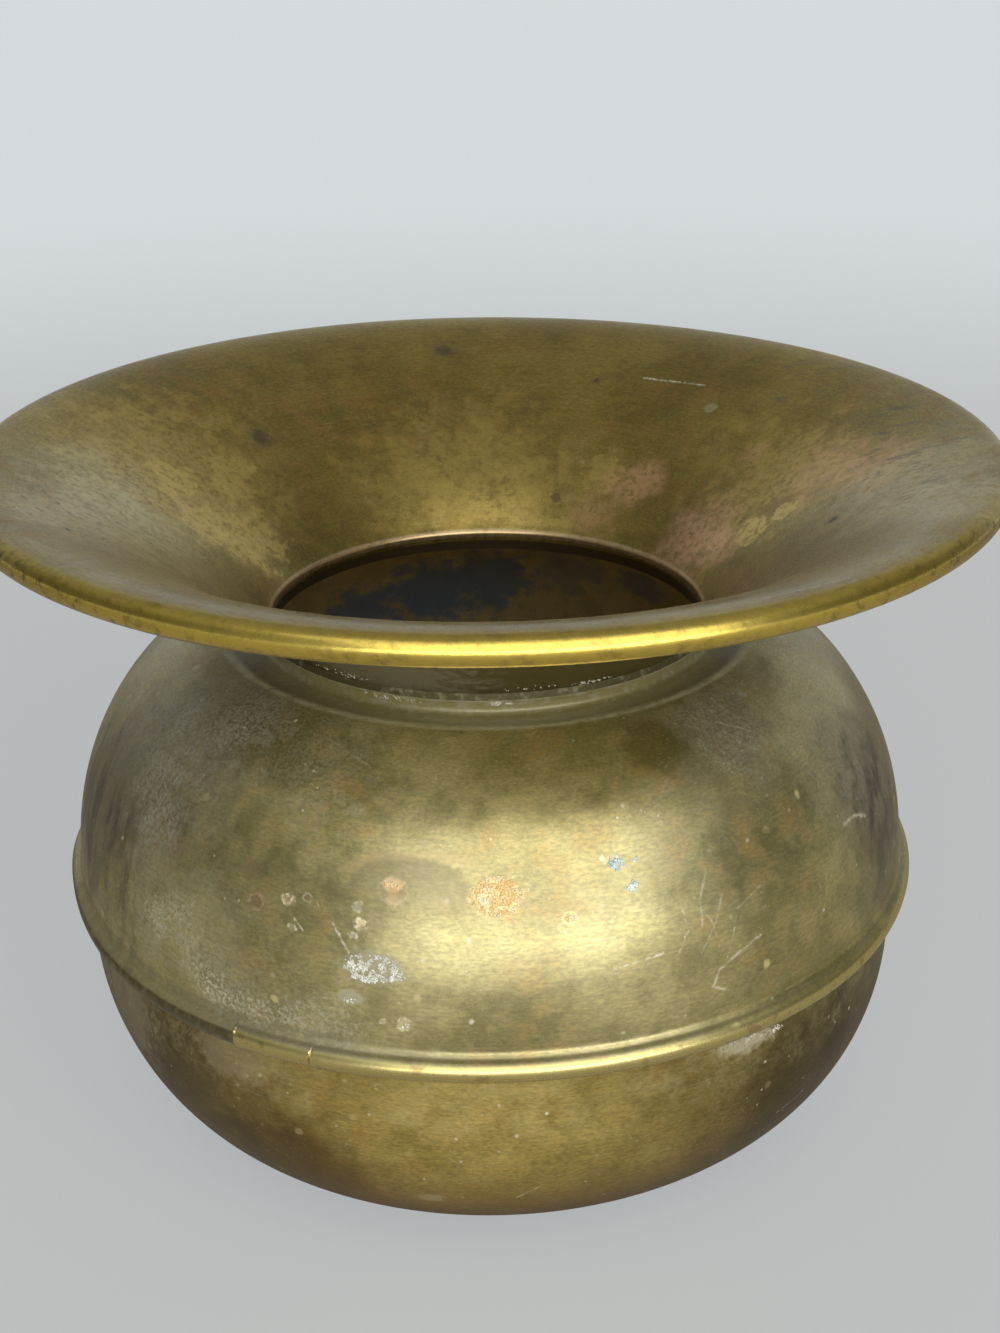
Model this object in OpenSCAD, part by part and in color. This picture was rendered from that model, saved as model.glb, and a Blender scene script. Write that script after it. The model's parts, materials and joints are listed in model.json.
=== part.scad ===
// Spun brass spittoon: a flared mouth with a wired rim, seated in the neck of a round body whose
// two halves are locked together by a rolled seam at the belly.
// Each sheet piece is the path of the middle of its sheet, given the sheet's thickness and turned
// about the Z axis. Points are [distance from the axis, height], in millimetres.

/* [Mouth] */
// Outside diameter over the rolled rim
rim_d = 178; // [150:1:214]
// Clear diameter of the throat
throat_d = 76.6; // [64:0.2:92]
// Height from the throat ring to the top of the rim
mouth_h = 32.8; // [27:0.2:40]
// Slope of the mouth where it leaves the throat, in degrees
throat_slope = 48; // [40:1:56]
// Radius of the turn from the throat into the mouth, at the middle of the sheet
throat_turn = 4; // [3.4:0.1:5]
// Length of the spigot below the throat ring
spigot_l = 1.6; // [1:0.1:3]
// Pull of the mouth's curve at the throat, as a part of its width
throat_pull = 0.47; // [0.3:0.01:0.55]
// Pull of the mouth's curve at the rim, as a part of its width
rim_pull = 0.21; // [0.15:0.01:0.35]
// Angle through which the rim is curled round its wire, in degrees
curl_turn = 290; // [250:5:300]

/* [Upper shell] */
// Outside diameter over the belly bead
belly_d = 154.8; // [129:0.2:186]
// Height from the middle of the belly bead to the throat ring
dome_h = 43.6; // [36:0.2:53]
// How far the belly bead stands out from the shell above it
bead_stand = 2.2; // [1.8:0.1:2.8]
// Radius of the hollow between the shell and the bead, at the middle of the sheet
bead_hollow = 2; // [1.6:0.1:3]
// Radius of the hollow at the foot of the neck collar, at the middle of the sheet
collar_root = 1.4; // [1:0.1:1.8]
// Width of the sunk ledge between the collar and the ridge
ledge_w = 6; // [5:0.1:7.2]
// Pull of the ledge's curve at both of its ends, as a part of its width
ledge_pull = 0.4; // [0.3:0.01:0.45]
// Height of the ridge over the ledge
ridge_rise = 1.15; // [0.8:0.05:1.5]
// Radius of the ridge, at the middle of the sheet
ridge_turn = 1.3; // [1:0.1:2]
// Slope of the ledge where it meets the ridge, in degrees
ledge_slope = 20; // [12:1:25]
// Slope of the shoulder where it leaves the ridge, in degrees
shoulder_slope = 12; // [8:1:18]
// Pull of the shoulder's curve at the ridge, as a part of its width
shoulder_pull = 0.6; // [0.5:0.01:0.7]
// Pull of the shoulder's curve above the bead, as a part of its height
side_pull = 0.48; // [0.4:0.01:0.6]

/* [Lower bowl] */
// Height of the middle of the belly bead
belly_h = 48.1; // [40:0.1:58]
// How far the belly bead stands out from the bowl below it
bowl_stand = 3.4; // [3.2:0.1:4.2]
// Height at which the bowl's side starts to curve in
side_h = 37; // [31:0.5:38]
// Diameter of the flat base
base_d = 75; // [62:0.5:90]
// Pull of the bowl's curve at its side, as a part of its height
bowl_pull = 0.7; // [0.55:0.01:0.75]
// Pull of the bowl's curve at the base, as a part of its width
base_pull = 0.47; // [0.35:0.01:0.6]
// Radius of the turn from the bowl's side into its curled edge, at the middle of the sheet
edge_turn = 0.9; // [0.75:0.05:1.2]
// Radius of the small space left inside the bowl's curled edge
curl_core = 0.3; // [0.2:0.05:0.5]

/* [Sheet and wire] */
// Thickness of the brass sheet
sheet = 0.9; // [0.75:0.01:1.08]
// Diameter of the wire in the rim
wire_d = 3; // [2.5:0.1:3.6]
// Gap left between two pieces that fit together
joint_gap = 0.04; // [0.02:0.01:0.06]
// Width of the solder fillet under the neck
solder_w = 0.8; // [0.5:0.1:1.2]

/* [Hidden] */
$fn = 96;

// Number of steps along a small turn, along a rolled edge and along a long curve
turn_n = 8;
roll_n = 24;
curve_n = 32;

half = sheet / 2;
throat_h = belly_h + dome_h;
total_h = throat_h + mouth_h;

// Throat: the turn from the upright spigot to the slope of the mouth
spigot_r = throat_d / 2 + half;
turn_c = [spigot_r + throat_turn, throat_h];
turn_end = 90 + throat_slope;

// Rim: the roll round the wire
roll_r = wire_d / 2 + joint_gap + sheet;
roll_mid = roll_r - half;
roll_c = [rim_d / 2 - roll_r, total_h - roll_r];

// Neck: the collar lies close outside the throat's turn, and the ledge starts at its foot
collar_mid = throat_turn - sheet - joint_gap;
root_c = [turn_c[0] - collar_mid + collar_root, throat_h];
ridge_c = [root_c[0] + ledge_w, throat_h - collar_root + ridge_rise - ridge_turn];

// Belly seam: the bowl's edge is curled, and the shell's edge is rolled round that curl
edge_mid = curl_core + half;
edge_out = curl_core + sheet;
hem_mid = edge_out + joint_gap + half;
bead_r = hem_mid + half;
bead_c = [belly_d / 2 - bead_r, belly_h];
shell_r = belly_d / 2 - bead_stand - half;
bowl_r = belly_d / 2 - bowl_stand - half;
hem_angle = acos((shell_r + bead_hollow - bead_c[0]) / (bead_hollow + hem_mid));
hollow_c = [shell_r + bead_hollow, belly_h + (bead_hollow + hem_mid) * sin(hem_angle)];
hem_end = bowl_r + edge_turn + joint_gap;
edge_c = [bowl_r + edge_turn, belly_h - edge_mid - edge_turn];

// Angles between which solder lies on the shell's hollow and on the bowl's curl, in degrees: it
// stops short of the tip of the crevice, where the shell comes down on the curl
solder_top = 184;
shell_stop = 172 + hem_angle;
curl_stop = 20 + hem_angle;
solder_foot = 175;

// A point at a distance and an angle from a centre, an arc of such points, and the same arc
// without its first point, for where it goes on from the arc before it
function polar(c, r, a) = [c[0] + r * cos(a), c[1] + r * sin(a)];
function arc(c, r, a0, a1, n) = [for (i = [0:n]) polar(c, r, a0 + (a1 - a0) * i / n)];
function onward(c, r, a0, a1, n) = [for (i = [1:n]) polar(c, r, a0 + (a1 - a0) * i / n)];

// A curve that leaves p0 towards angle a0 and reaches p1 heading along angle a1
function sweep(p0, a0, k0, p1, a1, k1, n) =
    let (q0 = polar(p0, k0, a0), q1 = polar(p1, -k1, a1))
    [for (i = [1:n - 1]) let (t = i / n, s = 1 - t)
        s * s * s * p0 + 3 * s * s * t * q0 + 3 * s * t * t * q1 + t * t * t * p1];

// One side of a sheet: the path moved sideways by d, with its segments kept parallel
function unit(v) = v / norm(v);
function left(v) = [-v[1], v[0]];
function before(p, i) = unit(left(i == 0 ? p[1] - p[0] : p[i] - p[i - 1]));
function after(p, i) = unit(left(i == len(p) - 1 ? p[i] - p[i - 1] : p[i + 1] - p[i]));
function side(p, d) = [for (i = [0:len(p) - 1])
    let (a = before(p, i), b = after(p, i), m = unit(a + b)) p[i] + m * d / (m * a)];
function reversed(p) = [for (i = [len(p) - 1:-1:0]) p[i]];

module spun(path) {
    rotate_extrude() polygon(concat(side(path, half), reversed(side(path, -half))));
}

// The mouth rises from its spigot, flares out and curls down round the wire
mouth_start = polar(turn_c, throat_turn, turn_end);
mouth_end = polar(roll_c, roll_mid, 90);
mouth_w = mouth_end[0] - mouth_start[0];
mouth_path = concat(
    [[spigot_r, throat_h - spigot_l]],
    arc(turn_c, throat_turn, 180, turn_end, turn_n),
    sweep(mouth_start, throat_slope, throat_pull * mouth_w,
        mouth_end, 0, rim_pull * mouth_w, curve_n),
    arc(roll_c, roll_mid, 90, 90 - curl_turn, roll_n));

module mouth_funnel() {
    color("#8f7c35") spun(mouth_path);
}

module rim_wire() {
    color("#9a9488") rotate_extrude() translate(roll_c) circle(d = wire_d);
}

// The upper shell runs from its collar over the ledge, ridge and shoulder into the rolled hem
ledge_start = polar(root_c, collar_root, 270);
ledge_end = polar(ridge_c, ridge_turn, 90 + ledge_slope);
ledge_reach = ledge_pull * (ledge_end[0] - ledge_start[0]);
shoulder_start = polar(ridge_c, ridge_turn, 90 - shoulder_slope);
shoulder_end = [shell_r, hollow_c[1]];
shell_path = concat(
    arc(turn_c, collar_mid, turn_end, 180, turn_n),
    onward(root_c, collar_root, 180, 270, turn_n),
    sweep(ledge_start, 0, ledge_reach, ledge_end, ledge_slope, ledge_reach, turn_n),
    arc(ridge_c, ridge_turn, 90 + ledge_slope, 90 - shoulder_slope, turn_n),
    sweep(shoulder_start, -shoulder_slope, shoulder_pull * (shoulder_end[0] - shoulder_start[0]),
        shoulder_end, -90, side_pull * (shoulder_start[1] - shoulder_end[1]), curve_n),
    arc(hollow_c, bead_hollow, 180, 180 + hem_angle, turn_n),
    onward(bead_c, hem_mid, hem_angle, -90, roll_n),
    [[hem_end, belly_h - hem_mid]]);

module upper_shell() {
    color("#857a3c") spun(shell_path);
}

// The lower bowl runs from the middle of its flat base up its side to the curl inside the hem
base_edge = [base_d / 2, half];
bowl_side = [bowl_r, side_h];
bowl_path = concat(
    [[0, half], base_edge],
    sweep(base_edge, 0, base_pull * (bowl_side[0] - base_edge[0]),
        bowl_side, 90, bowl_pull * (bowl_side[1] - base_edge[1]), curve_n),
    [bowl_side],
    arc(edge_c, edge_turn, 180, 90, turn_n),
    arc(bead_c, edge_mid, -90, 180, roll_n));

module lower_bowl() {
    color("#7d7440") spun(bowl_path);
}

// Solder runs round the neck, between the collar's edge and the underside of the mouth
module neck_solder() {
    under_mouth = polar(turn_c, throat_turn - half - joint_gap, turn_end);
    collar_edge = polar(turn_c, collar_mid - half, turn_end);
    color("#8b8a80") rotate_extrude() polygon([
        polar(under_mouth, joint_gap, throat_slope),
        polar(under_mouth, joint_gap + solder_w, throat_slope),
        polar(collar_edge, joint_gap, throat_slope)]);
}

// Solder fills the crevice inside the belly seam, between the shell and the bowl's curl
module seam_solder() {
    color("#8b8a80") rotate_extrude() polygon(concat(
        arc(hollow_c, bead_hollow + half + joint_gap, solder_top, shell_stop, turn_n),
        arc(bead_c, edge_out + joint_gap, curl_stop, solder_foot, turn_n)));
}

mouth_funnel();
rim_wire();
upper_shell();
lower_bowl();
neck_solder();
seam_solder();
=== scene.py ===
# %% [markdown]
# A spun brass spittoon
# The object is thin brass sheet, turned on a spinning lathe: a flared mouth, the upper half of a
# round body and the lower half. The model already says where every piece is. This lesson
# builds finer meshes around it, with the dents, splits and crusts of a long life, and then the
# finishes: tarnish, handled edges, haze, specks and scratches.

# %% Load the fixed frame
import json
from math import acos, cos, degrees, pi, radians, sin

import bmesh
import bpy
import numpy as np
from mathutils import Matrix, Vector, noise
from mathutils.bvhtree import BVHTree

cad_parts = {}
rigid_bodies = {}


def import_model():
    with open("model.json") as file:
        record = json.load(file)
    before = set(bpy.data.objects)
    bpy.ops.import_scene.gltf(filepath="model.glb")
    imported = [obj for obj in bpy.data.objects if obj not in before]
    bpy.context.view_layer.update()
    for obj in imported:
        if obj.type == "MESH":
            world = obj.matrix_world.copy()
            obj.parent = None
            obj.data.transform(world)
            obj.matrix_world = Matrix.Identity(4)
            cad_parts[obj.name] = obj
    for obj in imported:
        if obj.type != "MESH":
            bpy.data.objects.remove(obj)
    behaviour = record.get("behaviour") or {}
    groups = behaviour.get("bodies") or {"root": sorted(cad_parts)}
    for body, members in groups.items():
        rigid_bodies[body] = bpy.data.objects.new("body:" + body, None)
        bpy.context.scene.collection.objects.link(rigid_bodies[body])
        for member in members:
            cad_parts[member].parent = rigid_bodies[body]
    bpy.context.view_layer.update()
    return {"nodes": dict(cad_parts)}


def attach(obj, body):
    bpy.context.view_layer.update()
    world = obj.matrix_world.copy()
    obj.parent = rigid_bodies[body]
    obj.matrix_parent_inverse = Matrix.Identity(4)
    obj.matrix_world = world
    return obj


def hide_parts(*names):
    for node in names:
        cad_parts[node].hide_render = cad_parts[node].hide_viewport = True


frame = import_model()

print("pieces in the frame:", sorted(frame["nodes"]))

# %% [markdown]
# The sizes of the real object come first, in millimetres, because that is how a metal spinner
# would note them. They are the same driving sizes as in the part's own source, so that the finer
# meshes lie exactly where the model's own ones do. Everything below is worked out from them.

# %% The driving sizes, in millimetres and degrees
MM = 0.001
SHEET, WIRE, GAP = 0.9, 3.0, 0.04
RIM_D, THROAT_D, MOUTH_H = 178.0, 76.6, 32.8
THROAT_SLOPE, THROAT_TURN, SPIGOT, CURL_TURN = 48.0, 4.0, 1.6, 290.0
THROAT_PULL, RIM_PULL = 0.47, 0.21
BELLY_D, DOME_H, BEAD_STAND, BEAD_HOLLOW = 154.8, 43.6, 2.2, 2.0
COLLAR_ROOT, LEDGE_W, RIDGE_RISE, RIDGE_TURN = 1.4, 6.0, 1.15, 1.3
LEDGE_SLOPE, LEDGE_PULL, SHOULDER_SLOPE, SHOULDER_PULL, SIDE_PULL = 20.0, 0.4, 12.0, 0.6, 0.48
BELLY_H, BOWL_STAND, SIDE_H, BASE_D = 48.1, 3.4, 37.0, 75.0
BOWL_PULL, BASE_PULL, EDGE_TURN, CURL_CORE = 0.7, 0.47, 0.9, 0.3

# %% What follows from them
HALF = SHEET / 2
THROAT_H = BELLY_H + DOME_H
TOTAL_H = THROAT_H + MOUTH_H
SPIGOT_R = THROAT_D / 2 + HALF
TURN_C = (SPIGOT_R + THROAT_TURN, THROAT_H)
TURN_END = 90 + THROAT_SLOPE
ROLL_MID = WIRE / 2 + GAP + HALF
ROLL_C = (RIM_D / 2 - ROLL_MID - HALF, TOTAL_H - ROLL_MID - HALF)
COLLAR_MID = THROAT_TURN - SHEET - GAP
ROOT_C = (TURN_C[0] - COLLAR_MID + COLLAR_ROOT, THROAT_H)
RIDGE_C = (ROOT_C[0] + LEDGE_W, THROAT_H - COLLAR_ROOT + RIDGE_RISE - RIDGE_TURN)
EDGE_MID = CURL_CORE + HALF
HEM_MID = CURL_CORE + SHEET + GAP + HALF
BEAD_C = (BELLY_D / 2 - HEM_MID - HALF, BELLY_H)
SHELL_R = BELLY_D / 2 - BEAD_STAND - HALF
BOWL_R = BELLY_D / 2 - BOWL_STAND - HALF
HEM_ANGLE = degrees(acos((SHELL_R + BEAD_HOLLOW - BEAD_C[0]) / (BEAD_HOLLOW + HEM_MID)))
HOLLOW_C = (SHELL_R + BEAD_HOLLOW, BELLY_H + (BEAD_HOLLOW + HEM_MID) * sin(radians(HEM_ANGLE)))
HEM_END = BOWL_R + EDGE_TURN + GAP
EDGE_C = (BOWL_R + EDGE_TURN, BELLY_H - EDGE_MID - EDGE_TURN)
print(f"height {TOTAL_H:.1f} mm, throat at {THROAT_H:.1f} mm, belly bead at {BELLY_H:.1f} mm")

# %% [markdown]
# The camera stands where the photographer stood: a third of a metre in front of the object, a
# little more than a hand's breadth above its rim, looking down. The lens is given as its focal
# length in pixels of a picture 1333 pixels tall, which is how it was worked out from the ellipses
# of the rim, the throat and the belly bead. A small roll tips the horizon as in a hand-held shot.

# %% The camera
PICTURE_H = 1333
FOCAL_PX = 2000
SENSOR_MM = 36.0
CAMERA_AT = Vector((0.0, -0.3311, 0.2267))
LOOK_DOWN, LOOK_ASIDE, ROLL = 0.4132, 0.0066, -0.0109

ahead = Vector((sin(LOOK_ASIDE) * cos(LOOK_DOWN), cos(LOOK_ASIDE) * cos(LOOK_DOWN), -sin(LOOK_DOWN)))
level = Vector((cos(LOOK_ASIDE), -sin(LOOK_ASIDE), 0.0))
upright = level.cross(ahead)
camera_x = cos(ROLL) * level + sin(ROLL) * upright
camera_y = -sin(ROLL) * level + cos(ROLL) * upright

camera = bpy.data.objects.new("camera", bpy.data.cameras.new("camera"))
camera.data.sensor_fit = "AUTO"
camera.data.sensor_width = SENSOR_MM
camera.data.lens = SENSOR_MM * FOCAL_PX / PICTURE_H
camera.data.clip_start = 0.01
turned = Matrix((camera_x, camera_y, -ahead)).transposed().to_4x4()
camera.matrix_world = Matrix.Translation(CAMERA_AT) @ turned
bpy.context.scene.collection.objects.link(camera)
bpy.context.scene.camera = camera
bpy.context.scene.view_settings.view_transform = "Standard"
print(f"lens {camera.data.lens:.1f} mm, looking down {degrees(LOOK_DOWN):.1f} degrees")

# %% [markdown]
# Metal shows its surroundings more than its own colour, so the light is part of the finish. The
# photograph has broad daylight from behind the photographer, reaching down to the table: it makes
# the soft patch of light on the belly and the bright line along the rim. The wall behind the
# object is pale and the sides of the room are dim. Here three area lamps stand for the daylight,
# and the world is pale behind the object and dimmer elsewhere, with nothing sharp in it.

# %% Daylight from three lamps
CENTRE = Vector((0, 0, 0.06))


def lamp(name, turn, rise, distance, size, radiance, tint):
    """An area lamp seen from the object at a turn from +Y towards +X and a rise, in degrees."""
    light = bpy.data.lights.new(name, "AREA")
    light.shape = "RECTANGLE"
    light.size, light.size_y = size
    light.energy = radiance * pi * size[0] * size[1]
    light.color = tint
    out = Vector((sin(radians(turn)) * cos(radians(rise)),
                  cos(radians(turn)) * cos(radians(rise)), sin(radians(rise))))
    holder = bpy.data.objects.new(name, light)
    holder.location = CENTRE + out * distance
    holder.rotation_euler = out.to_track_quat("Z", "Y").to_euler()
    holder.visible_camera = False
    bpy.context.scene.collection.objects.link(holder)
    print(name, "lamp:", size[0], "by", size[1], "m, radiance", radiance)


lamp("window", 167, 29, 1.25, (1.55, 1.2), 1.85, (1.0, 0.99, 0.97))
lamp("window_foot", 170, 4, 1.3, (1.9, 0.38), 2.9, (1.0, 1.0, 0.98))
lamp("window_head", 178, 61, 1.3, (1.5, 0.42), 0.75, (1.0, 0.99, 0.96))

# %% [markdown]
# The world and the floor are small node trees. A ramp turns a direction or a distance into a
# share, and mixes lay one colour over another by that share. The camera sees a pale wall all
# round, while the metal finds the wall only behind the object.

# %% The room
WALL_COLOUR = (0.66, 0.70, 0.72, 1.0)
WALL_LIGHT = (0.50, 0.52, 0.53, 1.0)
FRONT_LIGHT = (0.24, 0.235, 0.22, 1.0)
SIDE_LIGHT = (0.09, 0.087, 0.08, 1.0)
TOP_LIGHT = (0.31, 0.305, 0.28, 1.0)


def ramp_node(tree, value, low, high, bottom=0.0, top=1.0):
    node = tree.nodes.new("ShaderNodeMapRange")
    node.interpolation_type = "SMOOTHSTEP"
    tree.links.new(value, node.inputs[0])
    for socket, number in zip(node.inputs[1:5], (low, high, bottom, top)):
        socket.default_value = number
    return node.outputs[0]


def mix_node(tree, share, a, b):
    node = tree.nodes.new("ShaderNodeMix")
    node.data_type = "RGBA"
    tree.links.new(share, node.inputs[0])
    for socket, value in ((node.inputs[6], a), (node.inputs[7], b)):
        if isinstance(value, tuple):
            socket.default_value = value
        else:
            tree.links.new(value, socket)
    return node.outputs[2]


room = bpy.context.scene.world or bpy.data.worlds.new("room")
bpy.context.scene.world = room
room.use_nodes = True
tree = room.node_tree
facing = tree.nodes.new("ShaderNodeSeparateXYZ")
tree.links.new(tree.nodes.new("ShaderNodeTexCoord").outputs["Generated"], facing.inputs[0])
light = mix_node(tree, ramp_node(tree, facing.outputs[1], -0.25, -0.85), SIDE_LIGHT, FRONT_LIGHT)
light = mix_node(tree, ramp_node(tree, facing.outputs[1], 0.3, 0.8), light, WALL_LIGHT)
light = mix_node(tree, ramp_node(tree, facing.outputs[2], 0.35, 0.85), light, TOP_LIGHT)
camera_ray = tree.nodes.new("ShaderNodeLightPath").outputs["Is Camera Ray"]
tree.links.new(mix_node(tree, camera_ray, light, WALL_COLOUR), tree.nodes["Background"].inputs["Color"])

# %% [markdown]
# The floor is matt and takes the object's shadow. A share of it shows the camera the pale colour
# of the wall, more and more of it further off, and the metal sees that pale distance too. So the
# picture has a pale floor and background without more light on the object.

# %% The floor
FLOOR_SIZE = 16.0
FLOOR_COLOUR = (0.48, 0.45, 0.40, 1.0)
PALE_SHARE, PALE_FROM, PALE_TO = 0.58, 0.25, 0.9
DISTANCE_FROM, DISTANCE_TO = 0.8, 2.2
corners = [(x * FLOOR_SIZE / 2, y * FLOOR_SIZE / 2, 0) for x, y in ((-1, -1), (1, -1), (1, 1), (-1, 1))]
floor_mesh = bpy.data.meshes.new("floor")
floor_mesh.from_pydata(corners, [], [(0, 1, 2, 3)])
floor = bpy.data.objects.new("floor", floor_mesh)
bpy.context.scene.collection.objects.link(floor)

floor_paint = bpy.data.materials.new("floor")
floor_paint.use_nodes = True
tree = floor_paint.node_tree
matt = tree.nodes["Principled BSDF"]
matt.inputs["Base Color"].default_value = FLOOR_COLOUR
matt.inputs["Roughness"].default_value = 0.7
pale = tree.nodes.new("ShaderNodeEmission")
pale.inputs["Color"].default_value = WALL_COLOUR
reach = tree.nodes.new("ShaderNodeVectorMath")
reach.operation = "LENGTH"
tree.links.new(tree.nodes.new("ShaderNodeTexCoord").outputs["Object"], reach.inputs[0])
rays = tree.nodes.new("ShaderNodeLightPath")
shares = []
for ray, start, end, least in (("Is Camera Ray", PALE_FROM, PALE_TO, PALE_SHARE),
                               ("Is Glossy Ray", DISTANCE_FROM, DISTANCE_TO, 0.0)):
    share = tree.nodes.new("ShaderNodeMath")
    share.operation = "MULTIPLY"
    tree.links.new(rays.outputs[ray], share.inputs[0])
    tree.links.new(ramp_node(tree, reach.outputs["Value"], start, end, least, 1.0), share.inputs[1])
    shares.append(share.outputs[0])
either = tree.nodes.new("ShaderNodeMath")
either.operation = "MAXIMUM"
joined = tree.nodes.new("ShaderNodeMixShader")
for output, socket in ((shares[0], either.inputs[0]), (shares[1], either.inputs[1]),
                       (either.outputs[0], joined.inputs[0]),
                       (matt.outputs[0], joined.inputs[1]), (pale.outputs[0], joined.inputs[2]),
                       (joined.outputs[0], tree.nodes["Material Output"].inputs["Surface"])):
    tree.links.new(output, socket)
floor_mesh.materials.append(floor_paint)
print("a pale wall and a pale floor", FLOOR_SIZE, "m wide")

# %% [markdown]
# A spinner thinks in outlines: half of a cut through the piece. Each outline here is the path of
# the middle of the sheet, made of arcs and of curves that leave and arrive at given slopes, and
# only then is it given the sheet's thickness. Points are (distance from the axis, height).

# %% Arcs and curves for the outlines


def polar(centre, radius, angle):
    return (centre[0] + radius * cos(radians(angle)), centre[1] + radius * sin(radians(angle)))


def arc(centre, radius, start, end, steps):
    return [polar(centre, radius, start + (end - start) * i / steps) for i in range(steps + 1)]


def onward(centre, radius, start, end, steps):
    """An arc without its first point, for where it goes on from the outline before it."""
    return arc(centre, radius, start, end, steps)[1:]


def sweep(start, start_slope, start_pull, end, end_slope, end_pull, steps):
    """The points between start and end of a smooth curve with those slopes at its ends."""
    p0, p3 = np.array(start), np.array(end)
    p1, p2 = np.array(polar(start, start_pull, start_slope)), np.array(polar(end, -end_pull, end_slope))
    shares = [i / steps for i in range(1, steps)]
    return [tuple((1 - t) ** 3 * p0 + 3 * (1 - t) ** 2 * t * p1
                  + 3 * (1 - t) * t * t * p2 + t ** 3 * p3) for t in shares]


def sides(path):
    """For each point of a path, its direction to the left, stretched so that offset lines stay true."""
    path = np.array(path)
    steps = np.diff(path, axis=0)
    steps /= np.linalg.norm(steps, axis=1)[:, None]
    left = np.column_stack([-steps[:, 1], steps[:, 0]])
    before, after = np.vstack([left[:1], left]), np.vstack([left, left[-1:]])
    middle = before + after
    middle /= np.linalg.norm(middle, axis=1)[:, None]
    return middle / np.sum(middle * before, axis=1)[:, None]


def length_along(path):
    """The distance along a path to each of its points."""
    return np.concatenate([[0], np.cumsum(np.linalg.norm(np.diff(np.array(path), axis=0), axis=1))])


# %% The mouth's outline, with the number of steps in each stretch
LIP_STEPS, FLARE_STEPS, RIM_STEPS = 24, 72, 44
mouth_start = polar(TURN_C, THROAT_TURN, TURN_END)
mouth_end = polar(ROLL_C, ROLL_MID, 90)
mouth_w = mouth_end[0] - mouth_start[0]
mouth_path = (
    [(SPIGOT_R, THROAT_H - SPIGOT)]
    + arc(TURN_C, THROAT_TURN, 180, TURN_END, LIP_STEPS)
    + sweep(mouth_start, THROAT_SLOPE, THROAT_PULL * mouth_w,
            mouth_end, 0, RIM_PULL * mouth_w, FLARE_STEPS)
    + arc(ROLL_C, ROLL_MID, 90, 90 - CURL_TURN, RIM_STEPS))

# %% The outlines of the body's two halves
BEND_STEPS, TURN_STEPS, SHOULDER_STEPS, HEM_STEPS = 10, 8, 72, 24
BASE_STEPS, SIDE_STEPS, CURL_STEPS = 12, 64, 20
ledge_start = polar(ROOT_C, COLLAR_ROOT, 270)
ledge_end = polar(RIDGE_C, RIDGE_TURN, 90 + LEDGE_SLOPE)
ledge_reach = LEDGE_PULL * (ledge_end[0] - ledge_start[0])
shoulder_start = polar(RIDGE_C, RIDGE_TURN, 90 - SHOULDER_SLOPE)
shoulder_end = (SHELL_R, HOLLOW_C[1])
shell_path = (
    arc(TURN_C, COLLAR_MID, TURN_END, 180, BEND_STEPS)
    + onward(ROOT_C, COLLAR_ROOT, 180, 270, TURN_STEPS)
    + sweep(ledge_start, 0, ledge_reach, ledge_end, LEDGE_SLOPE, ledge_reach, BEND_STEPS)
    + arc(RIDGE_C, RIDGE_TURN, 90 + LEDGE_SLOPE, 90 - SHOULDER_SLOPE, TURN_STEPS)
    + sweep(shoulder_start, -SHOULDER_SLOPE, SHOULDER_PULL * (shoulder_end[0] - shoulder_start[0]),
            shoulder_end, -90, SIDE_PULL * (shoulder_start[1] - shoulder_end[1]), SHOULDER_STEPS)
    + arc(HOLLOW_C, BEAD_HOLLOW, 180, 180 + HEM_ANGLE, BEND_STEPS)
    + onward(BEAD_C, HEM_MID, HEM_ANGLE, -90, HEM_STEPS)
    + [(HEM_END, BELLY_H - HEM_MID)])

base_edge = (BASE_D / 2, HALF)
bowl_side = (BOWL_R, SIDE_H)
bowl_path = (
    [(0.0, HALF)] + [(BASE_D / 2 * i / BASE_STEPS, HALF) for i in range(1, BASE_STEPS + 1)]
    + sweep(base_edge, 0, BASE_PULL * (bowl_side[0] - base_edge[0]),
            bowl_side, 90, BOWL_PULL * (bowl_side[1] - base_edge[1]), SIDE_STEPS)
    + [bowl_side]
    + arc(EDGE_C, EDGE_TURN, 180, 90, TURN_STEPS)
    + arc(BEAD_C, EDGE_MID, -90, 180, CURL_STEPS))
print("outline points:", len(mouth_path), len(shell_path), len(bowl_path))

# %% [markdown]
# A screw modifier could turn these outlines into bodies, but then every piece would be perfectly
# round. Real spinnings are not: rims sag, bellies get pushed in, and rolled seams split. So the
# mesh is turned in code, ring by ring, and a small function says how far the sheet has moved at
# each angle and at each distance along the outline. Both faces of the sheet move together. Each
# point also keeps two numbers for the finishes: how far along the outline it is, in millimetres,
# and whether it is on the side that a hand would touch.

# %% Angles round the axis, and a mesh from points and faces
STATIONS = 300


def even_stations(extra=()):
    """Angles round the axis, in radians, with more of them where something small happens."""
    even = [-pi + 2 * pi * i / STATIONS for i in range(STATIONS)]
    return np.array(sorted(set(even) | {radians(a) for a in extra}))


def link_mesh(name, points, faces):
    mesh = bpy.data.meshes.new(name)
    mesh.from_pydata(points, [], faces)
    thing = bpy.data.objects.new(name, mesh)
    bpy.context.scene.collection.objects.link(thing)
    return thing


# %% Turning an outline into a sheet-metal body
NEAR_AXIS = 20
SAME_POINT = 1e-7
SHARP_EDGE = 40


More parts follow.
